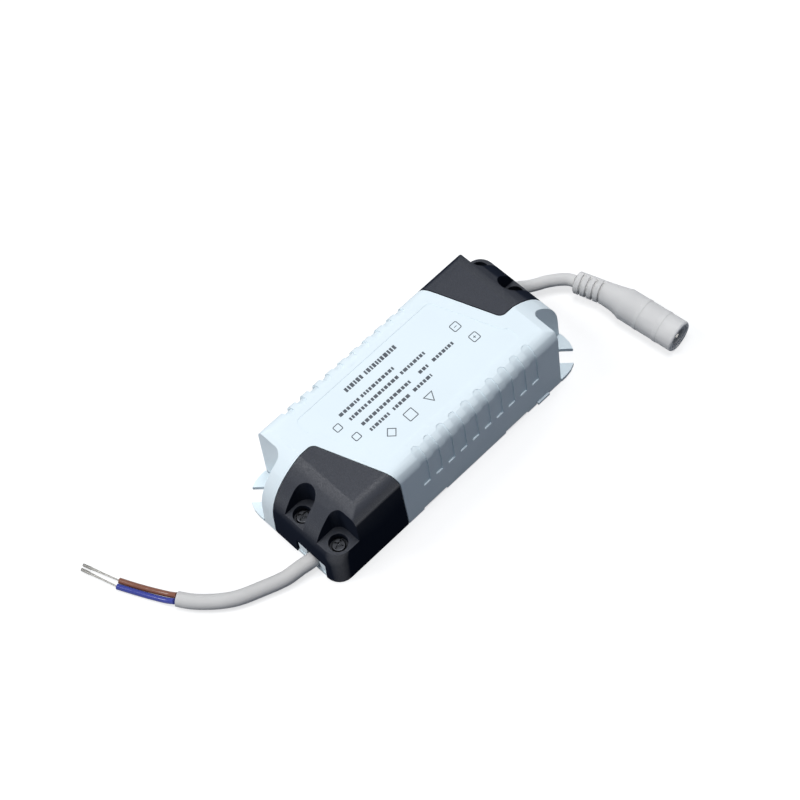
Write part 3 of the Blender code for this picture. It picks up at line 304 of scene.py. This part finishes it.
# %% [markdown]
# ## Cable plastics
#
# Sheath, cores and socket are soft extruded or moulded plastic. The thick pale ones let a little
# light through, which lifts their shaded side, so they get some subsurface scattering. Thin, deeply
# coloured cores do without it and shine more.

# %% Mix the cable plastics
def cable_plastic(name, colour, roughness=0.4, gloss=0.3, glow=0.0):
    finish = Finish(
        name,
        colour,
        roughness,
        IOR=1.45,
        Specular_IOR_Level=gloss,
        Subsurface_Weight=glow,
        Subsurface_Scale=2.0 * MM,
        Subsurface_Radius=(1.0, 1.0, 1.0),
    )
    finish.cloud(finish.noise(120.0, 3.0), colour, 0.94)
    finish.roughen(finish.noise(400.0, 3.0), roughness - 0.05, roughness + 0.07)
    finish.bump(finish.noise(1400.0, 2.0), 0.00003, 0.3)
    return finish.material


sheath_grey = cable_plastic("sheath_grey", (0.665, 0.655, 0.64), 0.5, 0.1, 0.4)
socket_grey = cable_plastic("socket_grey", (0.76, 0.75, 0.735), 0.5, 0.1, 0.4)
core_brown = cable_plastic("core_brown", (0.20, 0.065, 0.032), 0.24, 0.7)
core_blue = cable_plastic("core_blue", (0.016, 0.032, 0.30), 0.24, 0.7)
core_black = cable_plastic("core_black", (0.02, 0.02, 0.02))
core_red = cable_plastic("core_red", (0.42, 0.02, 0.015))
insulator_white = cable_plastic("insulator_white", (0.62, 0.62, 0.62), 0.5, 0.1)
print("cable plastics mixed")


# %% [markdown]
# ## Metals
#
# The screws are blackened steel, the tips are strands dipped in solder and the socket's pin is
# nickel. Polished metal would be a plain mirror. These are worked, so each gets a smeared tone and a
# fine bump.

# %% Mix the metals
def worked_metal(name, colour, roughness, scale=900.0):
    finish = Finish(name, colour, roughness, 1.0)
    smear = finish.noise(scale / 8, 4.0)
    finish.cloud(smear, colour, 0.7)
    finish.roughen(smear, roughness + 0.1, roughness - 0.05)
    finish.bump(finish.noise(scale, 3.0), 0.00002, 0.4)
    return finish.material


solder_tin = worked_metal("solder_tin", (0.38, 0.375, 0.36), 0.42)
black_steel = worked_metal("black_steel", (0.055, 0.058, 0.066), 0.34, 1400.0)
bright_nickel = worked_metal("bright_nickel", (0.68, 0.66, 0.62), 0.22)
spreader_aluminium = worked_metal("spreader_aluminium", (0.66, 0.67, 0.68), 0.38)
print("metals mixed")


# %% [markdown]
# ## The pieces inside
#
# Components that no one sees until the case is opened get the same care at a smaller price: one
# speckled finish each, in the colour that such a component usually has. The solids keep their form,
# and only the material of each changes.

# %% Dress the components
def speckled(name, colour, roughness):
    finish = Finish(name, colour, roughness)
    spots = finish.noise(260.0, 4.0)
    finish.cloud(spots, colour, 0.75, FIRM_EDGES)
    finish.roughen(spots, roughness - 0.06, roughness + 0.08)
    finish.bump(finish.noise(1800.0, 2.0), 0.00003, 0.3)
    return finish.material


MOULDED = ((0.02, 0.02, 0.02), 0.5)
CAN_GREEN = ((0.015, 0.05, 0.03), 0.3)
BLOCK_GREEN = ((0.09, 0.25, 0.11), 0.4)
INSIDE = {
    "circuit_board": ((0.23, 0.15, 0.05), 0.5),
    "transformer_core": ((0.03, 0.03, 0.032), 0.6),
    "transformer_coil": ((0.72, 0.50, 0.05), 0.35),
    "bulk_capacitor": ((0.015, 0.02, 0.06), 0.3),
    "output_capacitor_1": CAN_GREEN,
    "output_capacitor_2": CAN_GREEN,
    "common_mode_choke": ((0.42, 0.15, 0.04), 0.3),
    "film_capacitor": ((0.52, 0.42, 0.06), 0.35),
    "fuse": ((0.28, 0.06, 0.03), 0.35),
    "bridge_rectifier": MOULDED,
    "optocoupler": MOULDED,
    "switching_transistor": MOULDED,
    "output_diode": MOULDED,
    "input_terminal_block": BLOCK_GREEN,
    "output_terminal_block": BLOCK_GREEN,
    "input_cord_clamp": MOULDED,
    "output_cord_clamp": MOULDED,
}
READY_MIXED = {
    "heat_spreader": spreader_aluminium,
    "socket_insulator": insulator_white,
    "socket_pin": bright_nickel,
    "input_inner_brown": core_brown,
    "input_inner_blue": core_blue,
    "output_inner_black": core_black,
    "output_inner_red": core_red,
}
for name, (colour, roughness) in INSIDE.items():
    nodes[name].data.materials[0] = speckled(name + "_finish", colour, roughness)
for name, material in READY_MIXED.items():
    nodes[name].data.materials[0] = material
print("nodes finished:", len(INSIDE) + len(READY_MIXED))

# %% [markdown]
# ## The routes of the leads
#
# The mains lead bends away from the case and ends in two bare cores, and the output lead ends in the
# socket. Their points were chosen and are those of the CAD model. Straight steps between
# them would show as kinks, so a cubic through each pair gives closer points and even bends.

# %% Round the routes
INPUT_ROUTE = (
    (-42.5, -10.6, 4.2), (-47.5, -10.7, 4.2), (-52.0, -10.7, 4.1), (-56.2, -9.8, 3.6),
    (-61.0, -8.8, 2.8), (-67.8, -6.1, 2.5), (-74.4, -3.2, 2.5), (-78.7, -0.1, 2.5),
    (-82.2, 3.3, 2.5), (-84.6, 6.2, 2.5), (-86.6, 9.4, 2.5),
)
OUTPUT_ROUTE = (
    (42.5, 10.6, 4.1), (47.5, 10.9, 4.1), (51.2, 10.7, 4.2), (53.9, 9.1, 4.4),
    (56.1, 7.0, 4.7), (58.2, 5.5, 4.9), (61.0, 4.0, 4.9), (63.4, 2.2, 5.0),
    (64.9, 0.7, 5.2), (66.2, -0.95, 5.3), (66.93, -2.81, 5.4),
)
BROWN_ROUTE = (
    (-86.0, 10.4, 2.4), (-87.2, 12.8, 1.5), (-89.9, 18.0, 1.1), (-92.2, 22.6, 1.1),
    (-94.05, 26.65, 1.1),
)
BLUE_ROUTE = (
    (-87.7, 9.5, 2.4), (-88.95, 11.85, 1.5), (-91.55, 17.0, 1.1), (-93.85, 21.7, 1.1),
    (-95.75, 25.75, 1.1),
)
STEPS_PER_SPAN = 3


def through(route):
    """Points of a smooth curve through the route's points, in metres."""
    stops = [Vector(p) * MM for p in route]
    dense = []
    for i in range(len(stops) - 1):
        before, start = stops[max(i - 1, 0)], stops[i]
        end, after = stops[i + 1], stops[min(i + 2, len(stops) - 1)]
        span = (end - start).length
        leave = start + (end - before).normalized() * span / 3
        arrive = end - (after - start).normalized() * span / 3
        for k in range(STEPS_PER_SPAN):
            t = k / STEPS_PER_SPAN
            s = 1 - t
            dense.append(s**3 * start + 3 * s * s * t * leave + 3 * s * t * t * arrive + t**3 * end)
    return dense + [stops[-1]]


def route_length(points):
    return sum((b - a).length for a, b in zip(points, points[1:]))


input_points = through(INPUT_ROUTE)
output_points = through(OUTPUT_ROUTE)
brown_points = through(BROWN_ROUTE)
blue_points = through(BLUE_ROUTE)
print("mains lead", round(route_length(input_points) / MM), "mm")
print("output lead", round(route_length(output_points) / MM), "mm")


# %% [markdown]
# ## The leads
#
# A lead is a round sheath over its cores. A circle could be swept along the route by hand. A curve
# with a round bevel and filled ends does that by itself, and stays a curve, which lets the lead be
# laid out anew later. The cores are leads of their own, too short to be counted apart from the
# sheath that they leave.

# %% Draw the leads
def draw_lead(name, points, diameter, finish, node):
    curve = bpy.data.curves.new(name, "CURVE")
    curve.dimensions = "3D"
    curve.bevel_depth = diameter / 2
    curve.bevel_resolution = 6
    curve.use_fill_caps = True
    spline = curve.splines.new("POLY")
    spline.points.add(len(points) - 1)
    for point, place in zip(spline.points, points):
        point.co = (*place, 1.0)
    spline.use_smooth = True
    curve.materials.append(finish)
    lead = add_object(name, curve)
    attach(lead, "root")
    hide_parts(node)
    return lead


mains_lead = draw_lead("mains_lead", input_points, 4.6 * MM, sheath_grey, "input_cable_jacket")
output_lead = draw_lead("output_lead", output_points, 3.9 * MM, socket_grey, "output_cable")
brown_lead = draw_lead("brown_lead", brown_points, 1.8 * MM, core_brown, "brown_core")
blue_lead = draw_lead("blue_lead", blue_points, 1.8 * MM, core_blue, "blue_core")
print("leads of", len(input_points), "and", len(output_points), "points")


# %% [markdown]
# ## The stripped tips
#
# Each core ends in fine strands that were twisted and dipped in solder. A bumpy rod would look right
# from far off, but twisted strands catch light one by one. Six strands wind round a seventh. A
# strand is one small disc spun round the tip's line while it moves along it, which draws a helix.
# The bundle is thin where it leaves the core, and the solder thickens its last part.

# %% Twist the strands
BROWN_TIP_END = (-98.0, 38.2, 1.1)
BLUE_TIP_END = (-99.3, 37.5, 1.1)
STRAND = 0.15 * MM
LAY = 1.8 * STRAND
PITCH = 4.2 * MM
SPIN_STEPS = 28
THINNEST = 0.62
FULL_FROM = 0.75
SOLDER_FROM = 0.78
SOLDER_SWELL = 1.22


def finish_piece(name, work, finish, node, replace=True):
    """Makes the working mesh an object that rides on the case and stands in for its node."""
    piece = add_object(name, mesh_from(name, work))
    piece.data.materials.append(finish)
    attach(piece, "root")
    if replace:
        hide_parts(node)
    return piece


def wind_strand(work, start, run, offset, angle):
    along = run.normalized()
    stand = Matrix.Translation(start) @ along.to_track_quat("Z", "Y").to_matrix().to_4x4()
    place = stand @ Matrix.Rotation(angle, 4, "Z") @ Matrix.Translation((offset, 0.0, 0.0))
    disc = bmesh.ops.create_circle(work, cap_ends=True, segments=8, radius=STRAND, matrix=place)
    ring = disc["verts"]
    edges = list({edge for vert in ring for edge in vert.link_edges})
    faces = list({face for vert in ring for face in vert.link_faces})
    bmesh.ops.spin(
        work,
        geom=ring + edges + faces,
        cent=start,
        axis=along,
        dvec=run / SPIN_STEPS,
        angle=math.tau * run.length / PITCH,
        steps=SPIN_STEPS,
        use_duplicate=False,
    )


def swell_tip(work, start, run):
    for vert in work.verts:
        share = (vert.co - start).dot(run.normalized()) / run.length
        middle = start + run * share
        full = min(share / FULL_FROM, 1.0)
        width = THINNEST + (1 - THINNEST) * full * full
        if share > SOLDER_FROM:
            width *= SOLDER_SWELL
        vert.co = middle + (vert.co - middle) * width


def twist_tip(name, start, end, node):
    run = end - start
    work = bmesh.new()
    for strand in range(6):
        wind_strand(work, start, run, LAY, math.tau * strand / 6)
    wind_strand(work, start, run, 0.0, 0.0)
    ends = [edge for edge in work.edges if edge.is_boundary]
    bmesh.ops.holes_fill(work, edges=ends, sides=0)
    swell_tip(work, start, run)
    bmesh.ops.recalc_face_normals(work, faces=work.faces)
    for face in work.faces:
        face.smooth = len(face.verts) == 4
    return finish_piece(name, work, solder_tin, node)


brown_end, blue_end = Vector(BROWN_TIP_END) * MM, Vector(BLUE_TIP_END) * MM
brown_strands = twist_tip("brown_strands", brown_points[-1], brown_end, "brown_tip")
blue_strands = twist_tip("blue_strands", blue_points[-1], blue_end, "blue_tip")
print("tips of", len(brown_strands.data.polygons), "faces each")


# %% [markdown]
# ## Softened copies
#
# The case, the covers and the socket have broad roundings, which the solids hold as flat facets.
# More facets would smooth them too, at a price. Sharing the normals across shallow edges is enough.
# Each of these is a copy of its solid, with the file's doubled points merged, flat faces joined and
# sharp edges kept sharp.

# %% Copy and soften
MERGE_DISTANCE = 0.000001
FLAT_ANGLE = math.radians(0.6)
SHARP_ANGLE = math.radians(32.0)


def softened(name, node, finish, reshape=None):
    work = bmesh.new()
    work.from_mesh(nodes[node].data)
    bmesh.ops.remove_doubles(work, verts=work.verts, dist=MERGE_DISTANCE)
    bmesh.ops.dissolve_limit(work, angle_limit=FLAT_ANGLE, verts=work.verts, edges=work.edges)
    if reshape:
        reshape(work)
    bmesh.ops.recalc_face_normals(work, faces=work.faces)
    for face in work.faces:
        face.smooth = True
    for edge in work.edges:
        edge.smooth = len(edge.link_faces) == 2 and edge.calc_face_angle(0.0) < SHARP_ANGLE
    piece = finish_piece(name, work, finish, node)
    weigh = piece.modifiers.new("weigh_normals", "WEIGHTED_NORMAL")
    weigh.keep_sharp = True
    weigh.weight = 80
    return piece


print("softener ready")

# %% [markdown]
# ## Shallower grip grooves
#
# Ten shallow grooves run up each long side of the case and over its rounded edge. Those of the solid
# are a little deep for the picture. Instead of cutting them anew, their floors come half way out, at
# right angles to the case's outer surface: straight out on the side, radially round the edge.

# %% Bring the groove floors out
EDGE_RADIUS = 4.8 * MM
EDGE_CENTRE_Y = 15.887 * MM
EDGE_CENTRE_Z = 23.2 * MM
SIDE_LEAN = math.radians(2.0)
EDGE_FOOT = EDGE_RADIUS * math.sin(SIDE_LEAN)
GROOVE_SPAN = (-16.4 * MM, 32.0 * MM)
GROOVE_LOW = 12.4 * MM
GROOVE_APEX_Y = 16.0 * MM
LEAST_DEPTH = 0.15 * MM
DEEPEST_GROOVE = 1.1 * MM


def among_grooves(place):
    in_row = GROOVE_SPAN[0] < place.x < GROOVE_SPAN[1]
    return in_row and place.z > GROOVE_LOW and abs(place.y) > GROOVE_APEX_Y


def depth_below_surface(place):
    """How far a point lies under the outer surface, and the way out, both for +Y."""
    out = Vector((0.0, abs(place.y) - EDGE_CENTRE_Y, place.z - EDGE_CENTRE_Z))
    if out.z > EDGE_FOOT:
        return EDGE_RADIUS - out.length, out.normalized()
    wall = EDGE_RADIUS * math.cos(SIDE_LEAN) + (EDGE_FOOT - out.z) * math.tan(SIDE_LEAN)
    return wall - out.y, Vector((0.0, 1.0, 0.0))


def shallower_grooves(work):
    for vert in filter(lambda vert: among_grooves(vert.co), work.verts):
        depth, outward = depth_below_surface(vert.co)
        if LEAST_DEPTH < depth < DEEPEST_GROOVE:
            outward.y = math.copysign(outward.y, vert.co.y)
            vert.co += outward * depth / 2


softened("case_top", "top_cover", case_white, reshape=shallower_grooves)
softened("case_tray", "base_tray", case_white)
softened("input_cap", "input_terminal_cover", cover_black)
softened("output_cap", "output_terminal_cover", cover_black)
socket_piece = softened("round_socket", "socket_body", socket_grey)
print("socket of", len(socket_piece.data.polygons), "faces")


# %% [markdown]
# ## Heads of the cover screws
#
# Four pan head screws hold the covers. A head could be turned as a profile. Here it is a disc,
# raised and rounded at its rim, which needs fewer numbers. The working mesh starts from the top of
# the plain screw that it replaces, so its place comes from the solid.

# %% Shape a screw head
HEAD_RADIUS = 2.1 * MM
HEAD_HEIGHT = 1.3 * MM
RIM_ROUNDING = 0.45 * MM


def raise_faces(work, faces, height):
    """Lifts a copy of the faces with walls below it, and returns its points."""
    lifted = bmesh.ops.extrude_face_region(work, geom=faces, use_keep_orig=True)["geom"]
    upper = [item for item in lifted if isinstance(item, bmesh.types.BMVert)]
    bmesh.ops.translate(work, vec=(0, 0, height), verts=upper)
    return upper


def screw_head(top):
    work = bmesh.new()
    place = Matrix.Translation(top - Vector((0, 0, HEAD_HEIGHT)))
    disc = bmesh.ops.create_circle(
        work, cap_ends=True, segments=40, radius=HEAD_RADIUS, matrix=place
    )
    upper = raise_faces(work, list(disc["verts"][0].link_faces), HEAD_HEIGHT)
    brim = [edge for edge in work.edges if all(vert in upper for vert in edge.verts)]
    bmesh.ops.bevel(
        work,
        geom=brim,
        offset=RIM_ROUNDING,
        segments=4,
        profile=0.5,
        affect="EDGES",
        material=-1,
    )
    bmesh.ops.recalc_face_normals(work, faces=work.faces)
    return work


print("head radius", round(HEAD_RADIUS / MM, 2), "mm")

# %% [markdown]
# ## The cross recess
#
# A driver's cross is two bars over a small cone. Drawn as lines it would vanish from the side, so it
# is cut out with an exact Boolean. A narrow bevel on every sharp edge then catches the light as the
# rim of a driven screw does. Each screw was left at its own angle, as a hand leaves them.

# %% Cut the cross and make the screws
CROSS_LENGTH = 3.1 * MM
CROSS_WIDTH = 0.75 * MM
CROSS_DEPTH = 0.8 * MM
CONE_POINT = 0.25 * MM
CONE_MOUTH = 1.1 * MM
CONE_LENGTH = 2.0 * MM
CONE_SINK = 0.1 * MM
EDGE_BEVEL = 0.07 * MM
SMALL_FACE = 0.3 * MM * MM
SCREW_TURNS = (20, 108, 44, 8)


def block(work, centre, size, turn=0.0):
    turned = Matrix.Translation(centre) @ Matrix.Rotation(turn, 4, "Z")
    bmesh.ops.create_cube(work, size=1.0, matrix=turned @ Matrix.Diagonal((*size, 1.0)))


def cross_cutter(name, top, turn):
    cut = bmesh.new()
    for angle in (turn, turn + math.pi / 2):
        block(cut, top, (CROSS_LENGTH, CROSS_WIDTH, 2 * CROSS_DEPTH), angle)
    bmesh.ops.create_cone(
        cut,
        cap_ends=True,
        segments=16,
        radius1=CONE_POINT,
        radius2=CONE_MOUTH,
        depth=CONE_LENGTH,
        matrix=Matrix.Translation(top - Vector((0, 0, CONE_SINK))),
    )
    return add_object(name, mesh_from(name, cut))


def cut_recess(screw, cutter):
    """Cuts and bevels with modifiers, then keeps the result as the screw's own mesh."""
    boolean = screw.modifiers.new("recess", "BOOLEAN")
    boolean.solver = "EXACT"
    boolean.use_self = True
    boolean.object = cutter
    edges = screw.modifiers.new("edges", "BEVEL")
    edges.width = EDGE_BEVEL
    edges.segments = 2
    edges.limit_method = "ANGLE"
    edges.angle_limit = math.radians(40)
    graph = bpy.context.evaluated_depsgraph_get()
    made = bpy.data.meshes.new_from_object(screw.evaluated_get(graph), depsgraph=graph)
    screw.modifiers.clear()
    screw.data = made
    bpy.data.objects.remove(cutter)


def cross_screw(name, node, turn):
    low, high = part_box(node)
    top = Vector(((low[0] + high[0]) / 2, (low[1] + high[1]) / 2, high[2]))
    screw = finish_piece(name, screw_head(top), black_steel, node)
    cut_recess(screw, cross_cutter(name + "_cut", top, turn))
    for polygon in screw.data.polygons:
        polygon.use_smooth = polygon.area < SMALL_FACE
    return screw


for number, turn in enumerate(SCREW_TURNS, start=1):
    screw = cross_screw(f"screw_{number}", f"cover_screw_{number}", math.radians(turn))
    print(screw.name, len(screw.data.polygons), "faces")

# %% [markdown]
# ## How long the leads are
#
# Each lead's length is worked out from its route. Both ends of both leads are in the photograph, and
# their lengths are those of the routes. The output lead gets 0.8 mm more, because its route is only
# just as long as a lead has to be.

route_length(input_points)
route_length(output_points) + 0.8 * MM

# %% [markdown]
# ## Generic print on the label
#
# The label field carries generic print: rows of short dashes, a few plain outlines, and the minus
# and the plus of the output. Print could be a mask in the material, but then its edges would depend
# on the size of the picture that it is baked to. So each mark is a film 0.02 mm thick that lies in
# the label recess. A number generator with a fixed seed sets the lengths of the dashes, which gives
# the same rows each run. Sizes and places in the two cells below are in millimetres.

# %% Shape the marks
INK = 0.02
INK_BOTTOM = 27.885
PEN = 0.27
DASH_LENGTHS = (0.55, 1.35)
DASH_GAP = 0.36
LEAST_DASH = 0.3
SIGN_LENGTH = 1.0
SIGN_WIDTH = 0.2
marks = bmesh.new()


def dash(x, y, length, height, turn=0.0):
    centre = Vector((x, y, INK_BOTTOM + INK / 2)) * MM
    block(marks, centre, (length * MM, height * MM, INK * MM), turn)


def dashed_row(x_from, x_to, y, height, pick):
    x = x_from
    while x < x_to - LEAST_DASH:
        length = min(pick.uniform(*DASH_LENGTHS), x_to - x)
        dash(x + length / 2, y, length, height)
        x += length + DASH_GAP


def outline(x, y, radius, corners, turn, rounding=0.0):
    place = Matrix.Translation(Vector((x, y, INK_BOTTOM)) * MM)
    place @= Matrix.Rotation(math.radians(turn), 4, "Z")
    disc = bmesh.ops.create_circle(
        marks, cap_ends=True, segments=corners, radius=radius * MM, matrix=place
    )
    face = disc["verts"][0].link_faces[0]
    if rounding:
        made = bmesh.ops.bevel(
            marks,
            geom=disc["verts"],
            offset=rounding * MM,
            segments=3,
            profile=0.5,
            affect="VERTICES",
            material=-1,
        )
        face = max(made["verts"][0].link_faces, key=lambda item: item.calc_area())
    bmesh.ops.inset_region(
        marks, faces=[face], thickness=PEN * MM, use_boundary=True, use_even_offset=True
    )
    ring = list({item for edge in face.edges for item in edge.link_faces} - {face})
    bmesh.ops.delete(marks, geom=[face], context="FACES_ONLY")
    raise_faces(marks, ring, INK * MM)


print("ink film", INK, "mm thick")

# %% Print the marks
ROWS = (
    (10.7, 1.5, ((-14.7, -8.0), (-6.8, 5.4))),
    (6.0, 1.1, ((-21.5, -13.8), (-12.9, 0.1))),
    (3.0, 1.1, ((-20.3, -13.6), (-13.0, -1.1), (0.1, 9.8))),
    (-0.7, 1.1, ((-19.1, 0.7), (3.8, 7.3), (9.3, 18.1))),
    (-3.7, 1.1, ((-18.7, -11.3), (-9.6, -2.6), (-1.4, 5.8))),
)
INPUT_SIGNS = ((-24.5, 3.6), (-22.8, -2.3))
MINUS, PLUS = (21.9, 2.5), (23.2, -4.0)
INK_DARK = (0.045, 0.055, 0.07)
INK_WORN = (0.10, 0.115, 0.135)

pick = random.Random(7)
for y, height, stretches in ROWS:
    for x_from, x_to in stretches:
        dashed_row(x_from, x_to, y, height, pick)
for x, y in INPUT_SIGNS:
    outline(x, y, 1.7, 4, 45, rounding=0.45)
for x, y in (MINUS, PLUS):
    outline(x, y, 2.05, 4, 45, rounding=0.55)
    dash(x, y, SIGN_LENGTH, SIGN_WIDTH)
dash(*PLUS, SIGN_LENGTH, SIGN_WIDTH, math.pi / 2)
outline(-15.1, -8.6, 1.9, 4, 0)
outline(-7.4, -8.5, 2.4, 4, 45, rounding=0.3)
outline(0.4, -8.4, 2.1, 3, 180)
bmesh.ops.recalc_face_normals(marks, faces=marks.faces)
ink = Finish("print_ink", INK_DARK, 0.55)
worn = ink.spread(ink.noise(900.0, 3.0), 0.35, 0.7, 0.0, 1.0)
ink.set("Base Color", ink.tint(worn, INK_DARK, INK_WORN))
ink.set("Roughness", ink.spread(worn, 0.0, 1.0, 0.5, 0.62))
print_marks = finish_piece("print_marks", marks, ink.material, "top_cover", replace=False)
print("printed marks:", len(print_marks.data.polygons), "faces")

# %% [markdown]
# ## The floor
#
# The floor is one large pale plane. To the camera it is nearly white, as a studio table is. To the
# light that bounces it is darker, which keeps the case's shaded side as deep as in the picture. A
# brighter lamp would whiten it too, but would wash out the case. Part of what the camera sees is
# plain diffuse light, so the case's shadow stays.

# %% Lay the floor
FLOOR_SIZE = 3.0
FLOOR_BOUNCE = (0.07, 0.08, 0.105)
FLOOR_SHOWN = (0.44, 0.44, 0.44, 1.0)
FLOOR_LIFT = 0.68
WHITE = (1.0, 1.0, 1.0, 1.0)

work = bmesh.new()
bmesh.ops.create_grid(work, x_segments=1, y_segments=1, size=FLOOR_SIZE)
floor = add_object("floor", mesh_from("floor", work))
floor_finish = Finish("floor_white", FLOOR_BOUNCE, 0.9)
floor_finish.set("Specular IOR Level", 0.0)
bounced = Field(floor_finish, floor_finish.shader.outputs[0])
bright = floor_finish.node("ShaderNodeBsdfDiffuse", None, FLOOR_SHOWN)
lift = floor_finish.node("ShaderNodeEmission", None, WHITE, FLOOR_LIFT)
shown = floor_finish.node("ShaderNodeAddShader", None, bright, lift)
floor_finish.mix_surface("Material Output", floor_finish.seen_rays(), bounced, shown)
floor.data.materials.append(floor_finish.material)
print("floor laid")


# %% [markdown]
# ## The lamps
#
# Plain studio light comes from broad area lamps, whose shadows are soft. One hangs above the case
# and one behind it, and two weak ones at the sides open the dark plastic. The side lamps are hidden
# from gloss, so that they leave no bright squares on the covers.

# %% Hang the lamps
def hang_lamp(name, place, target, size, watts):
    data = bpy.data.lights.new(name, "AREA")
    data.shape = "RECTANGLE"
    data.size = data.size_y = size
    data.energy = watts
    lamp = add_object(name, data)
    lamp.location = place
    aim = Vector(target) - Vector(place)
    lamp.rotation_euler = aim.to_track_quat("-Z", "Y").to_euler()
    return lamp


hang_lamp("key_above", (0.06, -0.03, 1.1), (0, 0, 0), 0.45, 6.2)
hang_lamp("back_lamp", (-0.53, 0.43, 0.87), (0, 0, 0), 0.3, 3.6)
left_fill = hang_lamp("left_fill", (-1.0, 0.20, 0.35), (0, 0, 0.01), 0.4, 2.4)
right_fill = hang_lamp("right_fill", (0.9, 0.45, 0.5), (0, 0, 0.01), 0.4, 2.2)
left_fill.visible_glossy = False
right_fill.visible_glossy = False
print("lamps hung")

# %% [markdown]
# ## The world
#
# The world is a weak bluish sky that fills the shadows. A white wall behind the floor could hide
# it, but would also light the case. Instead the camera, gloss and clear things see plain white,
# with the same switch as the floor's.

# %% Colour the world
SKY_COLOUR = (0.62, 0.76, 1.0, 1.0)
SKY_STRENGTH = 0.17

world = bpy.data.worlds.new("pale_world")
bpy.context.scene.world = world
sky = Tree(world)
soft_sky = sky.nodes["Background"]
soft_sky.inputs["Color"].default_value = SKY_COLOUR
soft_sky.inputs["Strength"].default_value = SKY_STRENGTH
white_sky = sky.node("ShaderNodeBackground", None, WHITE)
soft_light = Field(sky, soft_sky.outputs[0])
sky.mix_surface("World Output", sky.seen_rays(), soft_light, white_sky)
bpy.context.scene.view_settings.view_transform = "Standard"
print("world ready")
